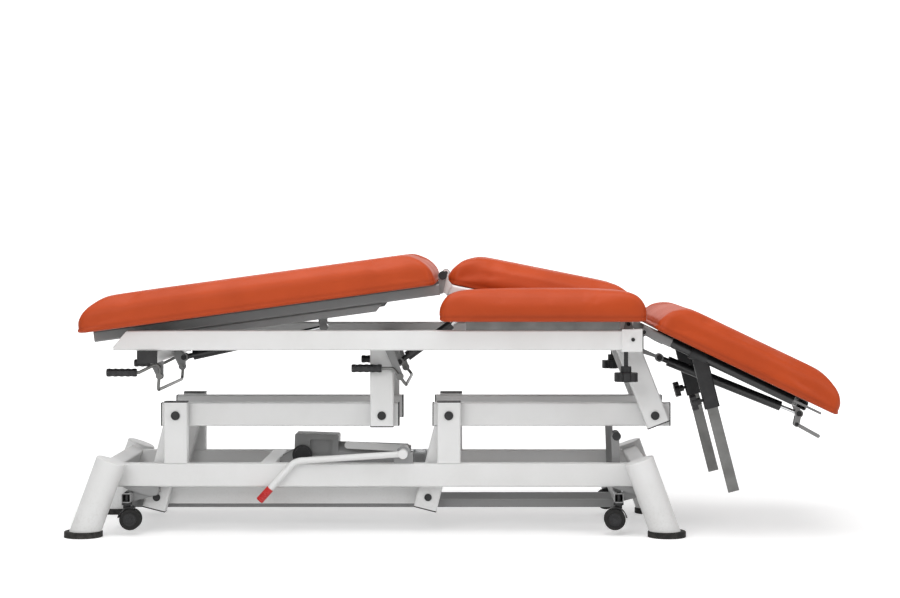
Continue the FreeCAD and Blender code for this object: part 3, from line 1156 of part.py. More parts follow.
def carrier_solids(pivot_x):
    """Wheel carrier: arms and pins under the rails, cross tube, link ears."""
    pivot = V(pivot_x, 0, CARRIER_PIVOT_Z)
    tube_x = pivot_x - CARRIER_REACH
    tube = cross_tube(tube_x, CARRIER_TUBE_Z, CASTER_Y + CARRIER_TUBE / 2, CARRIER_TUBE, CARRIER_TUBE)
    for side in (-1, 1):
        tube = tube.cut(rod_z(tube_x, side * CASTER_Y, 0, 200, STEM_R + RUN))
    face = tube_x + CARRIER_TUBE / 2
    half = CARRIER_ARM_DEPTH / 2
    arm = plate_outline([V(face, 0, CARRIER_TUBE_Z - 12), V(face, 0, CARRIER_TUBE_Z + 12),
                         V(pivot.x - 4, 0, pivot.z + 10), V(pivot.x - 2, 0, pivot.z - 11)],
                        -RAIL_Y - half, -RAIL_Y + half)
    arm = arm.fuse(rod_y(pivot, -RAIL_Y - half, -RAIL_Y + half, 11.0)).removeSplitter()
    arm = arm.cut(rod_y(pivot, -RAIL_Y - half - 1, -RAIL_Y + half + 1, STEM_R))
    link_pin = V(tube_x, 0, pivot.z - LINK_DROP)
    bottom = CARRIER_TUBE_Z - CARRIER_TUBE / 2
    y_in = LINK_Y + LINK_WIDTH / 2 + SEAT
    link_ear = plate_outline([V(tube_x - 10, 0, bottom), V(tube_x + 10, 0, bottom), V(tube_x + 8, 0, link_pin.z),
                              V(tube_x - 8, 0, link_pin.z)], -y_in - 6, -y_in)
    link_ear = link_ear.fuse(rod_y(link_pin, -y_in - 6, -y_in, 8.0)).removeSplitter()
    link_ear = link_ear.cut(rod_y(link_pin, -y_in - 7, -y_in + 1, 4.0))
    ear_pin = pin_y(link_pin, -y_in - 6, [(4.0, y_in + 6 - LINK_Y + LINK_WIDTH / 2 + SEAT), (7.0, 2.0)])
    return tube, arm, link_ear, ear_pin


def carrier_pin(pivot_x, inner_y):
    """Near-side pin of a wheel carrier, from outside the rail to inner_y."""
    outer = -RAIL_Y - RAIL_DEPTH / 2
    head = LEG_Y - LEG_RADIUS - RAIL_Y - RAIL_DEPTH / 2 - 2 * SEAT
    steps = [(STEM_R + 4, head), (STEM_R, inner_y - outer)]
    return pin_y(V(pivot_x, 0, CARRIER_PIVOT_Z), outer - head, steps)


def retraction_lever(pivot_x):
    """Near-side foot lever on the head-end carrier: flat bar on the cross tube, with a peg."""
    pivot = V(pivot_x, 0, CARRIER_PIVOT_Z)
    tube_x = pivot_x - CARRIER_REACH
    root_z = CARRIER_TUBE_Z + CARRIER_TUBE / 2
    top = pivot + V(-LEVER_TOP_BACK, 0, LEVER_TOP_RISE)
    half = LEVER_WIDTH / 2
    y0 = -LEVER_Y - LEVER_THICKNESS / 2
    y1 = -LEVER_Y + LEVER_THICKNESS / 2
    bar = plate_outline([V(tube_x - half, 0, root_z), V(tube_x + half, 0, root_z), V(top.x + half, 0, top.z),
                         V(top.x - half, 0, top.z)], y0, y1)
    bar = bar.fuse(rod_y(top, y0, y1, half)).removeSplitter()
    peg = rod_y(top, y0 - LEVER_PEG, y0, PEDAL_TUBE_R)
    grip = rod_y(top, y0 - LEVER_PEG - LEVER_THICKNESS, y0 - SEAT, PIVOT_CAP_R)
    grip = grip.cut(rod_y(top, y0 - LEVER_PEG, y0, PEDAL_TUBE_R + RUN))
    return bar.fuse(peg).removeSplitter(), grip


def caster(tube_x, side):
    """Twin-wheel caster: swivel fork with stem and hood, and the wheel pair."""
    trail = CASTER_TRAIL if side[0] == "foot" else -CASTER_TRAIL
    centre = V(tube_x + trail, 0, WHEEL_CENTRE_Z)
    y = -CASTER_Y
    top_z = CARRIER_TUBE_Z - CARRIER_TUBE / 2 - SEAT
    half = WHEEL_GAP / 2 - 1
    fork = rod_z(tube_x, y, WHEEL_CENTRE_Z + 20, CARRIER_TUBE_Z + CARRIER_TUBE / 2 + 3, STEM_R)
    fork = fork.fuse(rod_z(tube_x, y, top_z - 6, top_z, 13.0))
    fork = fork.fuse(strap(centre, V(tube_x, 0, top_z - 10), 9.0, y - half, y + half))
    reach = WHEEL_R + 2
    hood = rod_y(centre, y - WHEEL_GAP / 2 - WHEEL_WIDTH, y + WHEEL_GAP / 2 + WHEEL_WIDTH, reach + 2.5)
    hood = hood.cut(rod_y(centre, y - 40, y + 40, reach))
    sign = -1 if trail > 0 else 1
    x0, x1 = sorted((centre.x + sign * 60, centre.x - sign * 10))
    keep = block(x0, x1, y - 40, y + 40, centre.z + 4, centre.z + 60)
    hood = hood.common(keep)
    fork = fork.fuse(hood).removeSplitter()
    fork = fork.cut(rod_y(centre, y - 40, y + 40, 4.0 + RUN))
    outer = WHEEL_GAP / 2 + WHEEL_WIDTH
    wheels = pin_y(centre, y - outer, [(WHEEL_R, WHEEL_WIDTH), (4.0, WHEEL_GAP), (WHEEL_R, WHEEL_WIDTH)])
    rims = [edge for edge in wheels.Edges if abs(edge.BoundBox.ZLength - 2 * WHEEL_R) < 0.1
            and edge.BoundBox.YLength < 0.01]
    wheels = wheels.makeFillet(3.5, rims)
    if side[1] == "far":
        return mirrored(fork), mirrored(wheels)
    return fork, wheels


def carrier_nodes():
    """Both wheel carriers, their link bars, levers and casters."""
    nodes = {}
    ends = (("foot", CARRIER_PIVOT_X), ("head", CARRIER_PIVOT_X + CARRIER_SPACING))
    for end, pivot_x in ends:
        tube, arm, link_ear, ear_pin = carrier_solids(pivot_x)
        inner = -RAIL_Y + RAIL_DEPTH / 2
        nodes["carrier_tube_" + end] = [tube]
        nodes["carrier_arms_" + end] = both_sides([arm, link_ear])
        nodes["carrier_pins_" + end] = both_sides([ear_pin, carrier_pin(pivot_x, inner)])
        for side in ("near", "far"):
            fork, wheels = caster(pivot_x - CARRIER_REACH, (end, side))
            nodes["caster_fork_%s_%s" % (end, side)] = [fork]
            nodes["caster_wheels_%s_%s" % (end, side)] = [wheels]
    lever, grip = retraction_lever(CARRIER_PIVOT_X + CARRIER_SPACING)
    nodes["retraction_levers"] = both_sides([lever])
    nodes["retraction_grips"] = both_sides([grip])
    pin_z = CARRIER_PIVOT_Z - LINK_DROP
    foot = V(CARRIER_PIVOT_X - CARRIER_REACH, 0, pin_z)
    head = V(foot.x + CARRIER_SPACING, 0, pin_z)
    y0 = -LINK_Y - LINK_WIDTH / 2
    y1 = -LINK_Y + LINK_WIDTH / 2
    link = strap(foot, head, LINK_HEIGHT / 2, y0, y1)
    for centre in (foot, head):
        link = link.cut(rod_y(centre, y0 - 1, y1 + 1, 4.0 + RUN))
    nodes["link_bars"] = both_sides([link])
    return nodes


def release_bail(run, pivot):
    """Release bail across the table, its near run given in XZ, with pivot stubs and grips."""
    near = [V(point.x, -BAIL_HALF_WIDTH, point.z) for point in run]
    far = [V(point.x, BAIL_HALF_WIDTH, point.z) for point in reversed(run)]
    rod = bent_rod(near + far, BAIL_ROD_R, 10.0)
    hub = rod_y(pivot, -BAIL_HALF_WIDTH - 6, -BAIL_HALF_WIDTH + 6, 8.0)
    stub = rod_y(pivot, -BAIL_HALF_WIDTH + 6, -BAIL_HALF_WIDTH + 18, 3.5)
    bail = rod
    for piece in both_sides([hub, stub]):
        bail = bail.fuse(piece)
    grip_end = near[0] + V(72, 0, 0)
    grip = rod_between(near[0] - V(3, 0, 0), grip_end, BAIL_GRIP_R)
    grip = grip.makeFillet(2.5, grip.Edges)
    grip = grip.cut(rod_between(near[0] - V(0.05, 0, 0), grip_end + V(5, 0, 0), BAIL_ROD_R + RUN))
    bail = bail.removeSplitter()
    side = BAIL_HALF_WIDTH - BAIL_SEAM
    box = bail.BoundBox
    cross = bail.common(block(box.XMin - 1, box.XMax + 1, -side, side, box.ZMin - 1, box.ZMax + 1))
    arms = bail.common(block(box.XMin - 1, box.XMax + 1, box.YMin - 1, -side, box.ZMin - 1, box.ZMax + 1))
    far_arms = bail.common(block(box.XMin - 1, box.XMax + 1, side, box.YMax + 1, box.ZMin - 1, box.ZMax + 1))
    return cross.Solids + arms.Solids + far_arms.Solids, both_sides([grip])


def bail_bracket(x0, x1, root_z, pivot):
    """Near-side plate that hangs from a cross tube and carries a bail's stub."""
    y0 = -BAIL_HALF_WIDTH + 8
    y1 = y0 + LUG_THICKNESS
    plate = plate_outline([V(x0, 0, root_z), V(x1, 0, root_z), V(pivot.x + 9, 0, pivot.z),
                           V(pivot.x - 9, 0, pivot.z)], y0, y1)
    plate = plate.fuse(rod_y(pivot, y0, y1, 10.0)).removeSplitter()
    return plate.cut(rod_y(pivot, y0 - 1, y1 + 1, 3.5 + RUN))


# Places of the release bails, on the near side
LEG_BAIL_RUN = [V(-168, 0, 413), V(-90, 0, 413), V(-36, 0, 440), V(-41, 0, 369)]
LEG_BAIL_PIVOT = (LEG_BAIL_RUN[2] + LEG_BAIL_RUN[3]) * 0.5
CENTRE_BAIL_RUN = [V(454, 0, 424), V(556, 0, 424), V(589, 0, 382)]
CENTRE_BAIL_PIVOT = (CENTRE_BAIL_RUN[1] + CENTRE_BAIL_RUN[2]) * 0.5


def control_nodes():
    """Release bails with their brackets, the big rail knobs and the rail collars."""
    leg_bail, leg_grips = release_bail(LEG_BAIL_RUN, LEG_BAIL_PIVOT)
    centre_bail, centre_grips = release_bail(CENTRE_BAIL_RUN, CENTRE_BAIL_PIVOT)
    under_z = MAIN_RAIL_BOTTOM_Z - UNDER_TUBE_HEIGHT
    under_edge = UNDER_TUBE_X + UNDER_TUBE_WIDTH / 2
    post_edge = ARM_LENGTH + CROSS_WIDTH / 2
    brackets = [
        bail_bracket(under_edge - 36, under_edge, under_z, LEG_BAIL_PIVOT),
        bail_bracket(post_edge - 22, post_edge, MAIN_RAIL_BOTTOM_Z, CENTRE_BAIL_PIVOT),
    ]
    knob = lobed_knob(STEM_R - RUN, 47.0, 13.5, 16.0, BIG_KNOB_R, 22.0)
    knob = aimed(knob, V(BIG_KNOB_X, -MAIN_RAIL_Y, MAIN_RAIL_BOTTOM_Z + 6.5), V(0, 0, -1))
    half = MAIN_RAIL_DEPTH / 2
    x0 = MAIN_RAIL_HEAD_X - COLLAR_LENGTH
    collar = block(x0, MAIN_RAIL_HEAD_X, -MAIN_RAIL_Y - half - COLLAR_WALL, -MAIN_RAIL_Y + half,
                   MAIN_RAIL_BOTTOM_Z - COLLAR_WALL, MAIN_RAIL_TOP_Z + COLLAR_WALL)
    collar = collar.cut(block(x0 - 1, MAIN_RAIL_HEAD_X + 1, -MAIN_RAIL_Y - half, -MAIN_RAIL_Y + half + 1,
                              MAIN_RAIL_BOTTOM_Z, MAIN_RAIL_TOP_Z))
    collar = collar.cut(rod_z(BIG_KNOB_X, -MAIN_RAIL_Y, 0, MAIN_RAIL_BOTTOM_Z + 10, STEM_R))
    return {
        "leg_release_bail": leg_bail,
        "leg_release_grips": leg_grips,
        "centre_release_bail": centre_bail,
        "centre_release_grips": centre_grips,
        "bail_brackets": both_sides(brackets),
        "rail_knob_near": [knob],
        "rail_knob_far": [mirrored(knob)],
        "rail_collars": both_sides([collar]),
    }


def spring_nodes():
    """The three gas springs."""
    nodes = {}
    places = (
        ("leg", LEG_SPRING_LOW, LEG_SPRING_HIGH, 205.0, 150.0),
        ("centre", CENTRE_SPRING_LOW, CENTRE_SPRING_HIGH, 168.0, 112.0),
        ("head", HEAD_SPRING_LOW, HEAD_SPRING_HIGH, 345.0, 298.0),
    )
    for name, low, high, barrel_end, rod_start in places:
        barrel, rod = gas_spring(low, high, barrel_end, rod_start)
        nodes[name + "_spring_barrel"] = barrel
        nodes[name + "_spring_rod"] = rod
    return nodes


# Pieces that one file holds together, all on one moving or fixed body
FAMILIES = {
    "base_tubes": ("base_rails", "base_end_tubes", "pump_cross_tube", "uprights"),
    "base_fittings": ("upright_caps", "base_pivot_pins", "pump_base_pin", "pump_pin_ring"),
    "base_brackets": ("carrier_gussets", "pedal_bearing", "pump_lugs"),
    "lift_arms_foot": ("lift_arms_foot", "cross_shaft_foot"),
    "lift_arms_head": ("lift_arms_head", "cross_shaft_head"),
    "arm_fittings_foot": ("arm_caps_foot", "rod_pins_foot"),
    "arm_fittings_head": ("arm_caps_head", "rod_pins_head"),
    "main_rails": ("main_rails", "rail_collars"),
    "cross_members": ("cross_members", "leg_section_roller"),
    "upper_fittings": ("main_rail_caps", "post_caps", "upper_pivot_pins", "spring_pins", "hinge_pins"),
    "upper_brackets": ("spring_brackets", "hinge_lugs", "bail_brackets"),
    "centre_frame": ("centre_frame", "centre_ears", "centre_spring_lugs"),
    "centre_pins": ("peak_pins", "centre_spring_pin"),
    "leg_frame": ("leg_frame", "leg_ears", "leg_spring_lugs", "leg_spring_pin"),
    "head_frame": ("head_hinge_arms", "head_end_plates", "head_cross_tubes", "head_spring_lugs"),
    "head_fittings": ("elbow_clamps", "head_spring_pin", "head_lever_pin"),
    "pump_body": ("pump_block", "pump_barrel", "pump_gland"),
    "pump_ram": ("pump_ram", "ram_end"),
    "pedal_lever": ("pedal_lever", "pedal_cap"),
    "wheel_carrier_foot": ("carrier_tube_foot", "carrier_arms_foot", "carrier_pins_foot"),
    "wheel_carrier_head": ("carrier_tube_head", "carrier_arms_head", "carrier_pins_head",
                           "retraction_levers"),
    "leg_release_bail": ("leg_release_bail", "leg_release_grips"),
    "centre_release_bail": ("centre_release_bail", "centre_release_grips"),
}


def all_nodes():
    """Every node's solids, gathered into the files that hold them."""
    pieces = {}
    for group in (base_nodes, lift_nodes, upper_nodes, centre_section, leg_section, head_nodes,
                  spring_nodes, pump_nodes, pedal_nodes, carrier_nodes, control_nodes):
        pieces.update(group())
    nodes = {}
    for name, members in FAMILIES.items():
        nodes[name] = [shape for member in members for shape in pieces[member]]
    gathered = {member for members in FAMILIES.values() for member in members}
    for name, shapes in pieces.items():
        if name not in gathered:
            nodes[name] = shapes
    return nodes


def main():
    """Build every node and write one STEP file for each."""
    os.makedirs("parts", exist_ok=True)
    for name, shapes in all_nodes().items():
        solids = [solid for shape in shapes for solid in shape.Solids]
        whole = solids[0] if len(solids) == 1 else Part.makeCompound(solids)
        whole = whole.copy()
        whole.translate(V(ORIGIN_X, 0, 0))
        whole.exportStep("parts/%s.step" % name)
        print(name, len(solids), "valid" if whole.isValid() else "NOT VALID")


main()
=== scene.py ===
import json
import logging
import math
from dataclasses import dataclass, field
from enum import Enum
from typing import Callable

import bmesh
import bpy
from mathutils import Matrix, Vector


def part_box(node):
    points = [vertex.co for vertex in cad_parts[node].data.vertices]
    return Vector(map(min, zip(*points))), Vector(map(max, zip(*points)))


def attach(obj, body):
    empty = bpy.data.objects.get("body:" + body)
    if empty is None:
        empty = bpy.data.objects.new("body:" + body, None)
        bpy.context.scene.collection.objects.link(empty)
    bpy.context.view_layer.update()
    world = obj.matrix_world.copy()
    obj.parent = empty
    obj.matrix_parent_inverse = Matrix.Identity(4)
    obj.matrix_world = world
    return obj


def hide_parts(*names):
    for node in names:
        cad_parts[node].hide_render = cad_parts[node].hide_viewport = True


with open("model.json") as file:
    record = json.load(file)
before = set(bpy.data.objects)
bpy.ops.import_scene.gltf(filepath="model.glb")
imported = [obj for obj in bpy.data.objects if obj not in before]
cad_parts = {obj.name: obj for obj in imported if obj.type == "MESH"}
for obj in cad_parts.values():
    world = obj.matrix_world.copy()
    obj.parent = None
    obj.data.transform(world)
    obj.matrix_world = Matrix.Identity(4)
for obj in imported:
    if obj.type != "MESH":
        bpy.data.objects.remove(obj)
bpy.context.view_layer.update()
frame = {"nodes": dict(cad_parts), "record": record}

log = logging.getLogger("massage_table")

# Lengthwise and upright places of the pivots, from the foot-end base pivot and the floor, in metres
SIDE_PAD_FOOT = 0.684
PEAK_PIN = (0.682142, 0.660060)
CENTRE_HINGE = (1.155, 0.536)
HEAD_HINGE = (1.190, 0.518)
BASE_PIVOTS = (0.0, 0.697)

# How far the sections slope at rest, in degrees
LEG_SLOPE = 7.8
CENTRE_SLOPE = -11.3
HEAD_SLOPE = -25.5


class Side(Enum):
    """Which long side of the table a piece is on."""

    NEAR = -1
    FAR = 1


class Grain(Enum):
    """Which way the fine lines run on bare steel."""

    DRAWN = "drawn along its length"
    TURNED = "ground round its axis"


class NodeBench:
    """A node tree that is built up one named step at a time."""

    def __init__(self, name: str) -> None:
        """Starts a material with an empty tree.

        Args:
            name: the finish's name.
        """
        self.material = bpy.data.materials.new(name)
        self.material.use_nodes = True
        self.nodes = self.material.node_tree.nodes
        self.links = self.material.node_tree.links
        self.nodes.clear()
        self.output = self.nodes.new("ShaderNodeOutputMaterial")
        self.shader = self.nodes.new("ShaderNodeBsdfPrincipled")
        self.links.new(self.shader.outputs["BSDF"], self.output.inputs["Surface"])

    def coords(self, scale: tuple[float, float, float] = (1.0, 1.0, 1.0)) -> bpy.types.NodeSocket:
        """Object coordinates, stretched.

        Args:
            scale: how much each axis is multiplied by.

        Returns:
            The vector socket.
        """
        place = self.nodes.new("ShaderNodeTexCoord")
        mapping = self.nodes.new("ShaderNodeMapping")
        mapping.inputs["Scale"].default_value = scale
        self.links.new(place.outputs["Object"], mapping.inputs["Vector"])
        return mapping.outputs["Vector"]

    def noise(self, vector: bpy.types.NodeSocket, scale: float, detail: float = 3.0,
              rough: float = 0.5) -> bpy.types.NodeSocket:
        """Cloudy value between 0 and 1.

        Args:
            vector: where it is read.
            scale: clouds per metre.
            detail: finer layers on top.
            rough: how strong the finer layers are.

        Returns:
            The value socket.
        """
        made = self.nodes.new("ShaderNodeTexNoise")
        made.inputs["Scale"].default_value = scale
        made.inputs["Detail"].default_value = detail
        made.inputs["Roughness"].default_value = rough
        self.links.new(vector, made.inputs["Vector"])
        return made.outputs["Fac"]

    def cells(self, vector: bpy.types.NodeSocket, scale: float) -> bpy.types.NodeSocket:
        """Distance to the nearest edge between irregular cells.

        Args:
            vector: where it is read.
            scale: cells per metre.

        Returns:
            The value socket.
        """
        made = self.nodes.new("ShaderNodeTexVoronoi")
        made.feature = "DISTANCE_TO_EDGE"
        made.inputs["Scale"].default_value = scale
        self.links.new(vector, made.inputs["Vector"])
        return made.outputs["Distance"]

    def ramp(self, value: bpy.types.NodeSocket, low: float, high: float, out_low: float,
             out_high: float) -> bpy.types.NodeSocket:
        """Value carried from one range to another and held at its ends.

        Args:
            value: what is read.
            low: where the range starts.
            high: where it ends.
            out_low: result at the start.
            out_high: result at the end.

        Returns:
            The value socket.
        """
        made = self.nodes.new("ShaderNodeMapRange")
        made.inputs["From Min"].default_value = low
        made.inputs["From Max"].default_value = high
        made.inputs["To Min"].default_value = out_low
        made.inputs["To Max"].default_value = out_high
        self.links.new(value, made.inputs["Value"])
        return made.outputs["Result"]

    def sums(self, first: bpy.types.NodeSocket, second: bpy.types.NodeSocket,
             operation: str = "ADD") -> bpy.types.NodeSocket:
        """Two values joined by one operation.

        Args:
            first: the left value.
            second: the right value.
            operation: the name of the operation.

        Returns:
            The value socket.
        """
        made = self.nodes.new("ShaderNodeMath")
        made.operation = operation
        self.links.new(first, made.inputs[0])
        self.links.new(second, made.inputs[1])
        return made.outputs["Value"]

    def blend(self, share: bpy.types.NodeSocket, first: tuple[float, float, float],
              second: tuple[float, float, float]) -> bpy.types.NodeSocket:
        """Colour between two colours.

        Args:
            share: 0 for the first, 1 for the second.
            first: linear colour.
            second: linear colour.

        Returns:
            The colour socket.
        """
        made = self.nodes.new("ShaderNodeMix")
        made.data_type = "RGBA"
        colour_a = [s for s in made.inputs if s.name == "A" and s.type == "RGBA"][0]
        colour_b = [s for s in made.inputs if s.name == "B" and s.type == "RGBA"][0]
        colour_a.default_value = (*first, 1.0)
        colour_b.default_value = (*second, 1.0)
        self.links.new(share, made.inputs["Factor"])
        return [s for s in made.outputs if s.type == "RGBA"][0]

    def attribute(self, name: str) -> bpy.types.NodeSocket:
        """Value that a mesh carries on its points.

        Args:
            name: the attribute's name.

        Returns:
            The value socket.
        """
        made = self.nodes.new("ShaderNodeAttribute")
        made.attribute_name = name
        return made.outputs["Fac"]

    def height(self) -> bpy.types.NodeSocket:
        """Height above the floor."""
        place = self.nodes.new("ShaderNodeTexCoord")
        split = self.nodes.new("ShaderNodeSeparateXYZ")
        self.links.new(place.outputs["Object"], split.inputs["Vector"])
        return split.outputs["Z"]

    def bump(self, value: bpy.types.NodeSocket, strength: float, distance: float,
             under: bpy.types.NodeSocket | None = None) -> bpy.types.NodeSocket:
        """Relief of a value, on top of another relief.

        Args:
            value: the relief's height, 0 to 1.
            strength: how much of it shows.
            distance: the relief's depth in metres.
            under: the relief below it.

        Returns:
            The normal socket.
        """
        made = self.nodes.new("ShaderNodeBump")
        made.inputs["Strength"].default_value = strength
        made.inputs["Distance"].default_value = distance
        self.links.new(value, made.inputs["Height"])
        if under is not None:
            self.links.new(under, made.inputs["Normal"])
        return made.outputs["Normal"]

    def set_shader(self, **values: float) -> None:
        """Plain values on the shader's own sockets.

        Args:
            values: socket names with underscores for spaces.
        """
        for name, value in values.items():
            self.shader.inputs[name.replace("_", " ").title().replace("Ior", "IOR")].default_value = value

    def feed(self, socket: str, value: bpy.types.NodeSocket) -> None:
        """Joins a result to the shader.

        Args:
            socket: the shader's socket.
            value: the result.
        """
        self.links.new(value, self.shader.inputs[socket])


Colour = tuple[float, float, float]


@dataclass(frozen=True)
class Vinyl:
    """Upholstery vinyl stretched over foam."""

    name: str = "orange_vinyl"
    face: Colour = (0.480, 0.060, 0.0085)
    shade: Colour = (0.370, 0.044, 0.006)
    grain_per_metre: float = 620.0

    def build(self) -> bpy.types.Material:
        """Makes the vinyl, with painted shade along the fold where the cover turns under and in the corner
        pleats.
        """
        bench = NodeBench(self.name)
        place = bench.coords()
        cloud = bench.noise(place, 7.0, 4.0)
        # painted shade: the fold over the board's edge and the corner pleats darken the vinyl's colour
        fold_and_shade = bench.ramp(bench.attribute("fold_shade"), 0.0, 1.0, 0.0, 0.85)
        tone = bench.sums(bench.ramp(cloud, 0.35, 0.65, 0.0, 0.5), fold_and_shade, "ADD")
        bench.feed("Base Color", bench.blend(tone, self.face, self.shade))
        creases = bench.cells(place, self.grain_per_metre)
        pores = bench.noise(place, self.grain_per_metre * 2.4, 2.0)
        rough = bench.sums(bench.ramp(cloud, 0.3, 0.7, 0.40, 0.50), bench.ramp(creases, 0.0, 0.3, 0.10, 0.0))
        bench.feed("Roughness", rough)
        slack = bench.bump(bench.noise(place, 16.0, 2.0), 0.35, 0.0012)
        grain = bench.bump(bench.ramp(creases, 0.0, 0.25, 0.0, 1.0), 0.30, 0.00018, slack)
        bench.feed("Normal", bench.bump(pores, 0.12, 0.00008, grain))
        bench.set_shader(specular_ior_level=0.24, coat_weight=0.02, coat_roughness=0.40)
        return bench.material


@dataclass(frozen=True)
class Lining:
    """Black felt lining stapled under a pad."""

    name: str = "black_lining"
    face: Colour = (0.014, 0.014, 0.015)

    def build(self) -> bpy.types.Material:
        """Makes the felt, with loose fibres."""
        bench = NodeBench(self.name)
        fibres = bench.noise(bench.coords((1.0, 2.5, 1.0)), 900.0, 4.0, 0.7)
        bench.feed("Base Color", bench.blend(fibres, self.face, (0.035, 0.035, 0.037)))
        bench.feed("Roughness", bench.ramp(fibres, 0.3, 0.7, 0.8, 0.98))
        bench.feed("Normal", bench.bump(fibres, 0.4, 0.0004))
        bench.set_shader(specular_ior_level=0.2)
        return bench.material


@dataclass(frozen=True)
class PowderCoat:
    """Baked powder paint on steel tube."""

    name: str
    face: Colour
    dust: Colour
    gloss: float = 0.36
    dust_height: float = 0.16

    def build(self) -> bpy.types.Material:
        """Makes the paint: orange peel, handling haze, and a little dust near the floor."""
        bench = NodeBench(self.name)
        place = bench.coords()
        haze = bench.noise(place, 5.0, 5.0, 0.6)
        low = bench.ramp(bench.height(), 0.0, self.dust_height, 0.55, 0.0)
        specks = bench.ramp(bench.noise(place, 160.0, 3.0, 0.7), 0.50, 0.72, 0.0, 0.6)
        tone = bench.sums(bench.ramp(haze, 0.4, 0.7, 0.0, 0.22), bench.sums(low, specks, "MULTIPLY"))
        bench.feed("Base Color", bench.blend(tone, self.face, self.dust))
        bench.feed("Roughness", bench.ramp(haze, 0.3, 0.7, self.gloss, self.gloss + 0.10))
        peel = bench.bump(bench.noise(place, 380.0, 2.0), 0.22, 0.00022)
        bench.feed("Normal", bench.bump(bench.noise(place, 26.0, 1.0), 0.10, 0.0006, peel))
        bench.set_shader(specular_ior_level=0.45, coat_weight=0.12, coat_roughness=0.22)
        return bench.material


@dataclass(frozen=True)
class Plastic:
    """Moulded plastic with a fine eroded skin."""

    name: str
    face: Colour
    worn: Colour
    gloss: float = 0.46
    skin: float = 0.25

    def build(self) -> bpy.types.Material:
        """Makes the plastic, paler where hands rub it."""
        bench = NodeBench(self.name)
        place = bench.coords()
        rub = bench.noise(place, 34.0, 4.0, 0.6)
        bench.feed("Base Color", bench.blend(bench.ramp(rub, 0.45, 0.75, 0.0, 0.7), self.face, self.worn))
        bench.feed("Roughness", bench.ramp(rub, 0.3, 0.7, self.gloss + 0.08, self.gloss - 0.05))
        bench.feed("Normal", bench.bump(bench.noise(place, 1500.0, 2.0, 0.6), self.skin, 0.00012))
        bench.set_shader(specular_ior_level=0.45)
        return bench.material


@dataclass(frozen=True)
class BlackSteel:
    """Steel with satin black paint."""

    name: str = "black_steel"
    face: Colour = (0.013, 0.013, 0.014)
    scuff: Colour = (0.055, 0.055, 0.058)

    def build(self) -> bpy.types.Material:
        """Makes the paint, with thin scuffs along the tube."""
        bench = NodeBench(self.name)
        along = bench.noise(bench.coords((2.0, 60.0, 60.0)), 9.0, 4.0, 0.7)
        bench.feed("Base Color", bench.blend(bench.ramp(along, 0.60, 0.78, 0.0, 0.8), self.face, self.scuff))
        bench.feed("Roughness", bench.ramp(along, 0.35, 0.7, 0.30, 0.42))
        bench.feed("Normal", bench.bump(bench.noise(bench.coords(), 420.0, 2.0), 0.16, 0.00015))
        bench.set_shader(specular_ior_level=0.5, coat_weight=0.25, coat_roughness=0.2)
        return bench.material


@dataclass(frozen=True)
class BareSteel:
    """Bright steel with the marks of how it was finished."""

    name: str
    face: Colour
    dull: Colour
    gloss: float
    grain: Grain
    stretch: tuple[float, float, float] = (3.0, 220.0, 220.0)

    def build(self) -> bpy.types.Material:
        """Makes the metal, with its drawn or ground lines."""
        bench = NodeBench(self.name)
        lines = bench.noise(bench.coords(self.stretch), 6.0, 5.0, 0.65)
        stain = bench.noise(bench.coords(), 22.0, 3.0)
        spread = 0.16 if self.grain is Grain.DRAWN else 0.06
        bench.feed("Base Color", bench.blend(bench.ramp(stain, 0.35, 0.7, 0.0, 1.0), self.face, self.dull))
        bench.feed("Roughness", bench.ramp(lines, 0.3, 0.7, self.gloss, self.gloss + spread))
        bench.feed("Normal", bench.bump(lines, 0.22, 0.00006))
        bench.set_shader(metallic=1.0)
        return bench.material


@dataclass(frozen=True)
class Rubber:
    """Moulded rubber that stands and rolls on the floor."""

    name: str = "rubber"
    face: Colour = (0.012, 0.012, 0.012)
    dust: Colour = (0.085, 0.080, 0.074)

    def build(self) -> bpy.types.Material:
        """Makes the rubber, with floor dust in its pores."""
        bench = NodeBench(self.name)
        place = bench.coords()
        dust = bench.noise(place, 48.0, 5.0, 0.7)
        low = bench.ramp(bench.height(), 0.0, 0.03, 0.9, 0.25)
        share = bench.sums(bench.ramp(dust, 0.42, 0.75, 0.0, 1.0), low, "MULTIPLY")
        bench.feed("Base Color", bench.blend(share, self.face, self.dust))
        bench.feed("Roughness", bench.ramp(dust, 0.3, 0.7, 0.62, 0.86))
        bench.feed("Normal", bench.bump(bench.noise(place, 700.0, 3.0), 0.3, 0.0002))
        bench.set_shader(specular_ior_level=0.3)
        return bench.material


@dataclass
class FinishShelf:
    """Every finish on the table, made once and put on by slot name."""

    made: dict[str, bpy.types.Material] = field(default_factory=dict)

    def stock(self) -> None:
        """Makes all finishes."""
        finishes = (
            Vinyl(), Lining(), BlackSteel(), Rubber(),
            PowderCoat("white_paint", (0.800, 0.803, 0.800), (0.55, 0.54, 0.51)),
            PowderCoat("grey_paint", (0.300, 0.303, 0.305), (0.23, 0.225, 0.215), 0.40),
            Plastic("black_plastic", (0.011, 0.011, 0.012), (0.030, 0.030, 0.031)),
            Plastic("red_plastic", (0.560, 0.014, 0.014), (0.40, 0.014, 0.012), 0.30, 0.10),
            BareSteel("chrome_rod", (0.72, 0.73, 0.74), (0.60, 0.61, 0.62), 0.10, Grain.TURNED),
            BareSteel("bright_steel", (0.22, 0.22, 0.215), (0.16, 0.16, 0.155), 0.34, Grain.DRAWN),
        )
        for finish in finishes:
            self.made[finish.name] = finish.build()
            log.info("finish %s", finish.name)

    def dress(self, piece: bpy.types.Object, slot: str) -> None:
        """Puts a finish on every material slot of a piece.

        Args:
            piece: the mesh object.
            slot: the record's slot name.
        """
        if not piece.data.materials:
            piece.data.materials.append(self.made[slot])
        for index in range(len(piece.material_slots)):
            piece.material_slots[index].material = self.made[slot]


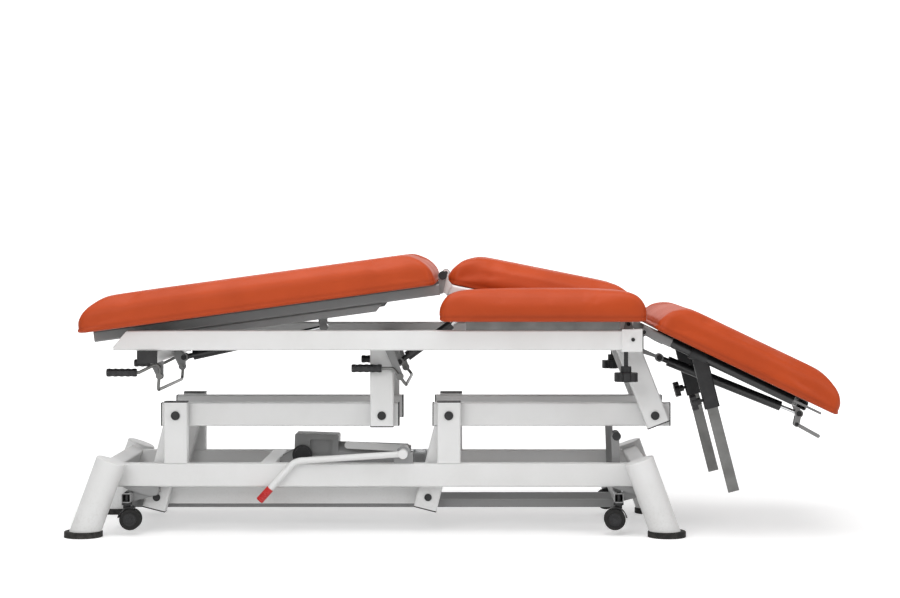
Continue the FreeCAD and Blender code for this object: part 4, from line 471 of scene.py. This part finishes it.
def deselect() -> None:
    """Leaves edit mode and selects nothing."""
    if bpy.context.object is not None and bpy.context.object.mode != "OBJECT":
        bpy.ops.object.mode_set(mode="OBJECT")
    bpy.ops.object.select_all(action="DESELECT")


def hold(piece: bpy.types.Object) -> None:
    """Selects one piece alone and makes it active.

    Args:
        piece: the object.
    """
    deselect()
    piece.select_set(True)
    bpy.context.view_layer.objects.active = piece


def pick_edges(piece: bpy.types.Object, wanted: Callable[[Vector, Vector], bool]) -> None:
    """Selects a mesh's edges by the places of their two ends, and stays in edit mode.

    Args:
        piece: the mesh object, held.
        wanted: says whether an edge is taken.
    """
    bpy.ops.object.mode_set(mode="EDIT")
    bpy.ops.mesh.select_mode(type="EDGE")
    bpy.ops.mesh.select_all(action="DESELECT")
    mesh = bmesh.from_edit_mesh(piece.data)
    for edge in mesh.edges:
        edge.select_set(wanted(edge.verts[0].co, edge.verts[1].co))
    bmesh.update_edit_mesh(piece.data)


def apply_modifier(piece: bpy.types.Object, kind: str, **settings: float | int | str | bool) -> None:
    """Adds one modifier, sets it and applies it.

    Args:
        piece: the mesh object.
        kind: the modifier's type.
        settings: its settings.
    """
    hold(piece)
    made = piece.modifiers.new(kind.lower(), kind)
    for name, value in settings.items():
        setattr(made, name, value)
    bpy.ops.object.modifier_apply(modifier=made.name)


def smooth(piece: bpy.types.Object, angle: float = 40.0) -> None:
    """Shades a piece smooth up to an angle.

    Args:
        piece: the mesh object.
        angle: the sharpest edge that is still smooth, in degrees.
    """
    hold(piece)
    bpy.ops.object.shade_smooth_by_angle(angle=math.radians(angle))


def finish_piece(piece: bpy.types.Object, name: str, body: str) -> bpy.types.Object:
    """Names a piece, puts its place in its mesh, and rides it on its body.

    Args:
        piece: the object.
        name: its name.
        body: the body that it moves with.

    Returns:
        The same object.
    """
    piece.data.transform(piece.matrix_world)
    piece.matrix_world = Matrix.Identity(4)
    piece.name = name
    piece.data.name = name
    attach(piece, body)
    log.info("piece %s on %s", name, body)
    return piece


@dataclass
class Pad:
    """Foam pad with a stretched vinyl cover, drawn flat about its section's hinge."""

    name: str
    node: str
    body: str
    hinge: tuple[float, float]
    slope: float
    span_x: tuple[float, float]
    span_y: tuple[float, float]
    bottom: float
    low_nose: float
    high_nose: float
    thickness: float = 0.080
    corner: float = 0.028
    shoulder: float = 0.027
    hem: float = 0.009
    give: float = 0.0035
    voxel: float = 0.007
    tip_share: float = 0.34
    side_cap: float = 0.0045
    top_cap: float = 0.0085
    fold_height: float = 0.012

    def rest_place(self) -> Matrix:
        """Where the flat drawing goes in the table's own frame."""
        turn = Matrix.Rotation(math.radians(-self.slope), 4, "Y")
        return Matrix.Translation((self.hinge[0], 0.0, self.hinge[1])) @ turn

    def block_out(self) -> bpy.types.Object:
        """Cuts the foam: a block with round corners, a wide shoulder and a small hem.

        Returns:
            The foam as a mesh object.
        """
        x0, x1 = self.span_x[0] + self.give, self.span_x[1] - self.give
        y0, y1 = self.span_y[0] + self.give, self.span_y[1] - self.give
        top = self.bottom + self.thickness - self.give
        deselect()
        middle = ((x0 + x1) / 2, (y0 + y1) / 2, (self.bottom + top) / 2)
        size = (x1 - x0, y1 - y0, top - self.bottom)
        bpy.ops.mesh.primitive_cube_add(size=1.0, location=middle, scale=size)
        foam = bpy.context.object
        bpy.ops.object.transform_apply(location=True, rotation=True, scale=True)
        pick_edges(foam, lambda a, b: abs(a.z - b.z) > 0.01)
        bpy.ops.mesh.bevel(offset=self.corner, segments=8, affect="EDGES")
        bpy.ops.object.mode_set(mode="OBJECT")
        pick_edges(foam, lambda a, b: min(a.z, b.z) > top - 1e-4)
        bpy.ops.mesh.bevel(offset=self.shoulder, segments=7, affect="EDGES")
        bpy.ops.object.mode_set(mode="OBJECT")
        pick_edges(foam, lambda a, b: max(a.z, b.z) < self.bottom + 1e-4)
        bpy.ops.mesh.bevel(offset=self.hem, segments=3, affect="EDGES")
        bpy.ops.object.mode_set(mode="OBJECT")
        return foam

    def nose(self, distance: float, length: float) -> float:
        """Share of the full thickness near an end.

        Args:
            distance: from the end, in metres.
            length: how long the taper is.

        Returns:
            The share, up to 1.
        """
        if distance >= length:
            return 1.0
        rest = 1.0 - max(distance, 0.0) / length
        return self.tip_share + (1.0 - self.tip_share) * math.sqrt(1.0 - rest * rest)

    def taper(self, foam: bpy.types.Object) -> None:
        """Rounds the foam off at its two ends.

        Args:
            foam: the remeshed foam.
        """
        for vertex in foam.data.vertices:
            share = self.nose(vertex.co.x - self.span_x[0], self.low_nose)
            share = min(share, self.nose(self.span_x[1] - vertex.co.x, self.high_nose))
            vertex.co.z = self.bottom + (vertex.co.z - self.bottom) * share

    def swell(self, foam: bpy.types.Object) -> None:
        """Lets the cover swell under the foam's pressure, held along the board at the bottom.

        Args:
            foam: the foam's mesh object.
        """
        board = foam.vertex_groups.new(name="board")
        board.add([v.index for v in foam.data.vertices if v.co.z < self.bottom + self.hem], 1.0, "REPLACE")
        cloth = foam.modifiers.new("cover", "CLOTH")
        cloth.settings.vertex_group_mass = "board"
        cloth.settings.quality = 3
        cloth.settings.mass = 0.3
        cloth.settings.tension_stiffness = 25.0
        cloth.settings.compression_stiffness = 25.0
        cloth.settings.bending_stiffness = 4.0
        cloth.settings.use_pressure = True
        cloth.settings.uniform_pressure_force = 4.0
        cloth.settings.effector_weights.gravity = 0.0
        cloth.collision_settings.use_collision = False
        cloth.collision_settings.use_self_collision = False
        cloth.point_cache.frame_start = 1
        cloth.point_cache.frame_end = 20
        for step in range(1, 21):
            bpy.context.scene.frame_set(step)
        swollen = foam.evaluated_get(bpy.context.evaluated_depsgraph_get())
        places = [v.co.copy() for v in swollen.data.vertices]
        foam.modifiers.remove(cloth)
        bpy.context.scene.frame_set(1)
        for vertex, place in zip(foam.data.vertices, places):
            move = place - vertex.co
            vertex.co.x += self.side_cap * math.tanh(move.x / self.side_cap)
            vertex.co.y += self.side_cap * math.tanh(move.y / self.side_cap)
            vertex.co.z += self.top_cap * math.tanh(move.z / self.top_cap)

    def corner_turn(self, place: Vector) -> tuple[float, float, Vector]:
        """How far round a plan corner a point is.

        Args:
            place: the point in the flat drawing.

        Returns:
            The arc length round the corner, the share of the corner that the point is in, and the way
            outwards.
        """
        centre_x = min(max(place.x, self.span_x[0] + self.corner), self.span_x[1] - self.corner)
        centre_y = min(max(place.y, self.span_y[0] + self.corner), self.span_y[1] - self.corner)
        out = Vector((place.x - centre_x, place.y - centre_y, 0.0))
        if out.length < 1e-6:
            return 0.0, 0.0, Vector((0.0, 0.0, 0.0))
        turn = math.atan2(abs(out.y), abs(out.x))
        inside = math.sin(2.0 * turn)
        return turn * self.corner, max(inside, 0.0), out.normalized()

    def tuck(self, cover: bpy.types.Object) -> None:
        """Presses in the fold over the board's edge and the pleats at the corners, and marks painted shade in
        them for the vinyl's colour.

        Args:
            cover: the swollen cover.
        """
        painted_shade = cover.data.attributes.new("fold_shade", "FLOAT", "POINT")
        for index, vertex in enumerate(cover.data.vertices):
            height = vertex.co.z - self.bottom
            arc, inside, out = self.corner_turn(vertex.co)
            fold_and_shade = math.exp(-((height - self.fold_height) / 0.0035) ** 2)
            pleat = max(0.0, math.cos(arc * 2.0 * math.pi / 0.0145)) ** 2 * inside
            pleat *= max(0.0, 1.0 - max(height, 0.0) / 0.042)
            reach = out.length * (1.0 if height < self.thickness * 0.7 else 0.0)
            vertex.co -= out * reach * (0.0011 * fold_and_shade + 0.0020 * pleat)
            # this mark is painted shade in the fold and the pleats; the vinyl darkens its colour by it
            painted_shade.data[index].value = min(1.0, 0.75 * fold_and_shade * reach + 0.9 * pleat)

    def line_bottom(self, cover: bpy.types.Object, shelf: FinishShelf) -> None:
        """Gives the underside its felt lining inside a border of vinyl.

        Args:
            cover: the finished cover.
            shelf: the finishes.
        """
        cover.data.materials.append(shelf.made["orange_vinyl"])
        cover.data.materials.append(shelf.made["black_lining"])
        border = 0.032
        for face in cover.data.polygons:
            inside_x = self.span_x[0] + border < face.center.x < self.span_x[1] - border
            inside_y = self.span_y[0] + border < face.center.y < self.span_y[1] - border
            face.material_index = int(face.normal.z < -0.9 and inside_x and inside_y)

    def build(self, shelf: FinishShelf) -> bpy.types.Object:
        """Makes the pad and puts it in its place.

        Args:
            shelf: the finishes.

        Returns:
            The finished pad.
        """
        foam = self.block_out()
        apply_modifier(foam, "REMESH", mode="VOXEL", voxel_size=self.voxel)
        self.taper(foam)
        apply_modifier(foam, "SMOOTH", factor=0.5, iterations=3)
        self.swell(foam)
        foam.vertex_groups.clear()
        apply_modifier(foam, "SUBSURF", levels=1, render_levels=1)
        self.tuck(foam)
        self.line_bottom(foam, shelf)
        hold(foam)
        bpy.ops.object.shade_smooth()
        foam.data.transform(self.rest_place())
        pad = finish_piece(foam, self.name, self.body)
        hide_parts(self.node)
        return pad


def upholstery() -> tuple[Pad, ...]:
    """The five pads of the top, at the places of their boards.

    Returns:
        The pads, from the foot end to the head end.
    """
    near_low, near_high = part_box("side_pad_near")
    far_low, far_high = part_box("side_pad_far")
    side_length = near_high.x - near_low.x
    flat = (near_low.x, near_low.z)
    peak, centre, head = ((lengthwise(x), z) for x, z in (PEAK_PIN, CENTRE_HINGE, HEAD_HINGE))
    return (
        Pad("leg_cover", "leg_pad", "leg_section", peak, LEG_SLOPE, (-0.924, -0.013), (-0.310, 0.310),
            -0.0197, 0.096, 0.070),
        Pad("centre_cover", "centre_pad", "centre_section", centre, CENTRE_SLOPE, (-0.477, 0.026),
            (-0.168, 0.168), 0.0093, 0.070, 0.070),
        Pad("side_cover_near", "side_pad_near", "upper_frame", flat, 0.0, (-0.012, side_length),
            (near_low.y, near_high.y), 0.0, 0.066, 0.070, corner=0.024, shoulder=0.024, voxel=0.0055),
        Pad("side_cover_far", "side_pad_far", "upper_frame", flat, 0.0, (-0.012, side_length),
            (far_low.y, far_high.y), 0.0, 0.066, 0.070, corner=0.024, shoulder=0.024, voxel=0.0055),
        Pad("head_cover", "head_pad", "head_section", head, HEAD_SLOPE, (0.010, 0.525), (-0.310, 0.310),
            0.0193, 0.066, 0.104),
    )


def lengthwise(place: float) -> float:
    """Place along the table, from the foot-end base pivot to the table's own frame.

    Args:
        place: metres from the foot-end base pivot.

    Returns:
        The X value.
    """
    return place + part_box("side_pad_near")[0].x - SIDE_PAD_FOOT


def seat_on(piece: str, x: float, z: float, side: Side) -> float:
    """Finds the outer face of a construction part by looking at it from one side.

    Args:
        piece: the part's name.
        x: where along the table.
        z: how high.
        side: the side that is looked from.

    Returns:
        The Y value of the face.
    """
    body = frame["nodes"][piece]
    found, place, _, _ = body.ray_cast(Vector((x, side.value * 1.0, z)), Vector((0.0, -side.value, 0.0)))
    low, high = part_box(piece)
    edge = low.y if side is Side.NEAR else high.y
    return place.y if found else edge


@dataclass
class Grip:
    """Ribbed hand grip pushed over the end of a release bail."""

    bail: str
    start: float
    height: float
    reach: float = 0.192
    radius: float = 0.0096
    length: float = 0.0764
    ribs: int = 9

    def build(self, shelf: FinishShelf, side: Side) -> bpy.types.Object:
        """Makes one grip.

        Args:
            shelf: the finishes.
            side: the side of the table.

        Returns:
            The grip.
        """
        deselect()
        middle = lengthwise(self.start) + self.length / 2 - 0.0036
        bpy.ops.mesh.primitive_cylinder_add(vertices=32, radius=self.radius, depth=self.length,
                                            location=(middle, side.value * self.reach, self.height),
                                            rotation=(0.0, math.pi / 2, 0.0))
        grip = bpy.context.object
        bpy.ops.object.transform_apply(location=True, rotation=True, scale=True)
        low = middle - self.length / 2
        step = self.length / (2 * self.ribs + 1)
        for cut in range(1, 2 * self.ribs + 1):
            bpy.ops.object.mode_set(mode="EDIT")
            bpy.ops.mesh.select_all(action="SELECT")
            bpy.ops.mesh.bisect(plane_co=(low + cut * step, 0.0, 0.0), plane_no=(1.0, 0.0, 0.0))
            bpy.ops.object.mode_set(mode="OBJECT")
        for vertex in grip.data.vertices:
            number = round((vertex.co.x - low) / step)
            flat = Vector((0.0, vertex.co.y - side.value * self.reach, vertex.co.z - self.height))
            if number % 4 in (1, 2) and 0 < number < 2 * self.ribs + 1:
                vertex.co += flat.normalized() * 0.0009
        apply_modifier(grip, "BEVEL", width=0.0006, segments=2, limit_method="ANGLE")
        smooth(grip)
        shelf.dress(grip, "black_plastic")
        return finish_piece(grip, self.bail + "_grip_" + side.name.lower(), self.bail)


@dataclass
class PivotCap:
    """Domed plastic cap over the end of a pivot pin, with a raised rim."""

    name: str
    body: str
    carrier: str
    x: float
    z: float
    radius: float = 0.0115
    rise: float = 0.0034

    def build(self, shelf: FinishShelf, side: Side) -> bpy.types.Object:
        """Makes one cap, seated on the pin.

        Args:
            shelf: the finishes.
            side: the side of the table.

        Returns:
            The cap.
        """
        deselect()
        face = seat_on(self.carrier, self.x, self.z, side)
        bpy.ops.mesh.primitive_uv_sphere_add(segments=40, ring_count=20, radius=self.radius,
                                             location=(0.0, 0.0, 0.0), rotation=(math.pi / 2, 0.0, 0.0))
        cap = bpy.context.object
        bpy.ops.object.transform_apply(location=True, rotation=True, scale=True)
        bpy.ops.object.mode_set(mode="EDIT")
        bpy.ops.mesh.select_all(action="SELECT")
        bpy.ops.mesh.bisect(plane_co=(0.0, 0.0, 0.0), plane_no=(0.0, -side.value, 0.0), use_fill=True,
                            clear_outer=True)
        bpy.ops.object.mode_set(mode="OBJECT")
        for vertex in cap.data.vertices:
            out = math.hypot(vertex.co.x, vertex.co.z) / self.radius
            rim = 0.0007 * math.exp(-((out - 0.86) / 0.07) ** 2)
            vertex.co.y = vertex.co.y * self.rise / self.radius
            if abs(vertex.co.y) > 1e-6:
                vertex.co.y += side.value * rim
        cap.data.transform(Matrix.Translation((self.x, face, self.z)))
        smooth(cap, 50.0)
        shelf.dress(cap, "black_plastic")
        return finish_piece(cap, self.name + "_" + side.name.lower(), self.body)


@dataclass
class SocketScrew:
    """Black screw with a six-sided socket in its head."""

    name: str
    body: str
    carrier: str
    x: float
    z: float
    radius: float = 0.0048
    height: float = 0.0030

    def build(self, shelf: FinishShelf, side: Side) -> bpy.types.Object:
        """Makes one screw head.

        Args:
            shelf: the finishes.
            side: the side of the table.

        Returns:
            The screw head.
        """
        deselect()
        face = seat_on(self.carrier, self.x, self.z, side)
        outer = face + side.value * self.height
        bpy.ops.mesh.primitive_cylinder_add(vertices=24, radius=self.radius, depth=self.height,
                                            location=(self.x, (face + outer) / 2, self.z),
                                            rotation=(math.pi / 2, 0.0, 0.0))
        screw = bpy.context.object
        bpy.ops.object.transform_apply(location=True, rotation=True, scale=True)
        bpy.ops.object.mode_set(mode="EDIT")
        bpy.ops.mesh.select_mode(type="FACE")
        bpy.ops.mesh.select_all(action="DESELECT")
        mesh = bmesh.from_edit_mesh(screw.data)
        for part in mesh.faces:
            part.select_set(abs(part.calc_center_median().y - outer) < 1e-5)
        bmesh.update_edit_mesh(screw.data)
        bpy.ops.mesh.inset(thickness=self.radius * 0.45)
        bpy.ops.mesh.extrude_region_move(
            TRANSFORM_OT_translate={"value": (0.0, -side.value * self.height * 0.7, 0.0)})
        bpy.ops.object.mode_set(mode="OBJECT")
        apply_modifier(screw, "BEVEL", width=0.0004, segments=2, limit_method="ANGLE")
        smooth(screw)
        shelf.dress(screw, "black_plastic")
        return finish_piece(screw, self.name + "_" + side.name.lower(), self.body)


@dataclass
class HubCap:
    """Dished cap in the middle of a caster wheel."""

    wheels: str
    radius: float = 0.0165
    height: float = 0.0016

    def build(self, shelf: FinishShelf, side: Side) -> bpy.types.Object:
        """Makes one hub cap on one face of a wheel pair.

        Args:
            shelf: the finishes.
            side: the face of the wheel pair.

        Returns:
            The cap.
        """
        low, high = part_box(self.wheels)
        face = low.y if side is Side.NEAR else high.y
        centre = (low + high) / 2
        deselect()
        place = (centre.x, face + side.value * self.height / 2, centre.z)
        bpy.ops.mesh.primitive_cylinder_add(vertices=40, radius=self.radius, depth=self.height,
                                            location=place, rotation=(math.pi / 2, 0.0, 0.0))
        cap = bpy.context.object
        bpy.ops.object.transform_apply(location=True, rotation=True, scale=True)
        bpy.ops.object.mode_set(mode="EDIT")
        bpy.ops.mesh.select_mode(type="FACE")
        bpy.ops.mesh.select_all(action="DESELECT")
        mesh = bmesh.from_edit_mesh(cap.data)
        for part in mesh.faces:
            part.select_set(abs(part.calc_center_median().y - face - side.value * self.height) < 1e-5)
        bmesh.update_edit_mesh(cap.data)
        bpy.ops.mesh.inset(thickness=self.radius * 0.25)
        bpy.ops.mesh.extrude_region_move(
            TRANSFORM_OT_translate={"value": (0.0, -side.value * self.height * 0.6, 0.0)})
        bpy.ops.mesh.inset(thickness=self.radius * 0.35)
        bpy.ops.mesh.extrude_region_move(
            TRANSFORM_OT_translate={"value": (0.0, side.value * self.height * 0.8, 0.0)})
        bpy.ops.object.mode_set(mode="OBJECT")
        apply_modifier(cap, "BEVEL", width=0.0003, segments=2, limit_method="ANGLE")
        smooth(cap)
        shelf.dress(cap, "black_plastic")
        return finish_piece(cap, self.wheels + "_hub_" + side.name.lower(), self.wheels)


@dataclass
class Trim:
    """Small bought-in parts: grips, pivot caps, screws and hub caps."""

    pivot_height: float = 0.302
    screw_place: tuple[float, float] = (0.455, 0.501)

    def build(self, shelf: FinishShelf) -> None:
        """Fits every small part on both sides.

        Args:
            shelf: the finishes.
        """
        grips = (Grip("leg_release_bail", -0.168, 0.413), Grip("centre_release_bail", 0.454, 0.424))
        caps = (
            PivotCap("base_cap_foot", "base", "base_fittings", lengthwise(BASE_PIVOTS[0]), self.pivot_height),
            PivotCap("base_cap_head", "base", "base_fittings", lengthwise(BASE_PIVOTS[1]), self.pivot_height),
        )
        screws = (SocketScrew("collar_screw", "upper_frame", "upper_fittings", *self.screw_place),)
        hubs = [HubCap(f"caster_wheels_{end}_{hand}") for end in ("foot", "head") for hand in ("near", "far")]
        for side in Side:
            for made in (*grips, *caps, *screws, *hubs):
                made.build(shelf, side)


@dataclass
class Studio:
    """Pale floor that runs up into a backdrop, soft lamps, and the camera."""

    camera_place: tuple[float, float, float] = (0.090, -5.070, 0.750)
    lens: float = 76.8
    shift: tuple[float, float] = (-0.0411, -0.0656)
    floor_half: float = 9.0
    floor_colour: Colour = (0.80, 0.80, 0.80)
    floor_glow: float = 0.41
    backdrop_glow: float = 1.0
    glow_rise: tuple[float, float] = (1.1, 3.6)

    def add_camera(self) -> None:
        """Stands the camera level, square to the table's long side."""
        bpy.ops.object.camera_add(location=self.camera_place, rotation=(math.pi / 2, 0.0, 0.0))
        camera = bpy.context.object
        camera.data.lens = self.lens
        camera.data.sensor_width = 36.0
        camera.data.shift_x, camera.data.shift_y = self.shift
        camera.data.dof.use_dof = False
        bpy.context.scene.camera = camera

    def white_behind(self, bench: NodeBench, surface: bpy.types.NodeSocket) -> None:
        """Adds light that only the camera and reflections see, so that the ground reads white.

        It grows with the distance from the table, where the lamps no longer reach.

        Args:
            bench: the material's node tree.
            surface: the plain surface.
        """
        place = bench.nodes.new("ShaderNodeTexCoord")
        distance = bench.nodes.new("ShaderNodeVectorMath")
        distance.operation = "LENGTH"
        bench.links.new(place.outputs["Object"], distance.inputs[0])
        strength = bench.ramp(distance.outputs["Value"], *self.glow_rise, self.floor_glow, self.backdrop_glow)
        path = bench.nodes.new("ShaderNodeLightPath")
        seen = bench.sums(path.outputs["Is Camera Ray"], path.outputs["Is Glossy Ray"], "MAXIMUM")
        seen = bench.sums(seen, path.outputs["Is Transmission Ray"], "MAXIMUM")
        glow = bench.nodes.new("ShaderNodeEmission")
        glow.inputs["Strength"].default_value = 1.0
        bench.links.new(bench.sums(seen, strength, "MULTIPLY"), glow.inputs["Strength"])
        both = bench.nodes.new("ShaderNodeAddShader")
        bench.links.new(surface, both.inputs[0])
        bench.links.new(glow.outputs["Emission"], both.inputs[1])
        bench.links.new(both.outputs["Shader"], bench.output.inputs["Surface"])

    def add_floor(self) -> None:
        """Lays the floor and bends its far side up into a tall backdrop."""
        deselect()
        bpy.ops.mesh.primitive_plane_add(size=2.0 * self.floor_half, location=(0.0, 0.0, 0.0))
        floor = bpy.context.object
        floor.name = "studio_floor"
        pick_edges(floor, lambda a, b: min(a.y, b.y) > self.floor_half - 0.01)
        bpy.ops.mesh.extrude_region_move(TRANSFORM_OT_translate={"value": (0.0, 0.0, 9.0)})
        bpy.ops.object.mode_set(mode="OBJECT")
        pick_edges(floor, lambda a, b: min(a.y, b.y) > self.floor_half - 0.01 and max(a.z, b.z) < 0.01)
        bpy.ops.mesh.bevel(offset=3.0, segments=16, affect="EDGES")
        bpy.ops.object.mode_set(mode="OBJECT")
        smooth(floor, 60.0)
        bench = NodeBench("studio_white")
        bench.shader.inputs["Base Color"].default_value = (*self.floor_colour, 1.0)
        bench.set_shader(roughness=0.75, specular_ior_level=0.15)
        self.white_behind(bench, bench.shader.outputs["BSDF"])
        floor.data.materials.append(bench.material)

    def add_world(self) -> None:
        """Makes the surroundings plain: soft grey light, and white where the camera looks past the floor."""
        world = bpy.data.worlds.new("studio_air")
        world.use_nodes = True
        bpy.context.scene.world = world
        nodes, links = world.node_tree.nodes, world.node_tree.links
        path = nodes.new("ShaderNodeLightPath")
        seen = nodes.new("ShaderNodeMath")
        seen.operation = "MAXIMUM"
        links.new(path.outputs["Is Camera Ray"], seen.inputs[0])
        links.new(path.outputs["Is Transmission Ray"], seen.inputs[1])
        level = nodes.new("ShaderNodeMapRange")
        level.inputs["To Min"].default_value = 0.42
        level.inputs["To Max"].default_value = 1.0
        links.new(seen.outputs["Value"], level.inputs["Value"])
        background = nodes["Background"]
        background.inputs["Color"].default_value = (1.0, 1.0, 1.0, 1.0)
        links.new(level.outputs["Result"], background.inputs["Strength"])

    def add_lamp(self, name: str, place: tuple[float, float, float], aim: tuple[float, float, float],
                 size: tuple[float, float], watts: float) -> None:
        """Hangs one soft box.

        Args:
            name: the lamp's name.
            place: where it hangs.
            aim: the point that it faces.
            size: its width and height.
            watts: its power.
        """
        turn = (Vector(aim) - Vector(place)).to_track_quat("-Z", "Y").to_euler()
        bpy.ops.object.light_add(type="AREA", location=place, rotation=turn)
        lamp = bpy.context.object
        lamp.name = name
        lamp.data.shape = "RECTANGLE"
        lamp.data.size, lamp.data.size_y = size
        lamp.data.energy = watts

    def build(self) -> None:
        """Sets up the whole studio."""
        deselect()
        self.add_camera()
        self.add_floor()
        self.add_world()
        self.add_lamp("top_box", (-0.3, -0.6, 3.0), (0.0, 0.0, 0.5), (3.2, 2.2), 64.0)
        self.add_lamp("front_box", (-1.6, -3.6, 2.2), (0.0, 0.0, 0.45), (2.4, 1.8), 44.0)
        self.add_lamp("head_side_box", (2.8, -1.8, 1.9), (0.3, 0.0, 0.4), (1.6, 1.6), 22.0)
        bpy.context.scene.view_settings.view_transform = "Standard"


@dataclass
class Framework:
    """The construction parts of the table, which keep their shape and get their real finish."""

    slots: dict[str, str] = field(default_factory=dict)

    def read_record(self) -> None:
        """Reads which finish each part has."""
        for part in frame["record"]["subparts"]:
            self.slots[part["node"]] = part["material_slot"]

    def build(self, shelf: FinishShelf) -> None:
        """Puts the finish on every construction part.

        Args:
            shelf: the finishes.
        """
        self.read_record()
        for node, piece in frame["nodes"].items():
            shelf.dress(piece, self.slots[node])
            log.info("part %s in %s", node, self.slots[node])


def main() -> None:
    """Builds the table's looks from the bottom up."""
    logging.basicConfig(level=logging.INFO, format="%(name)s: %(message)s")
    Studio().build()
    shelf = FinishShelf()
    shelf.stock()
    Framework().build(shelf)
    Trim().build(shelf)
    for pad in upholstery():
        pad.build(shelf)


if __name__ == "__main__":
    main()
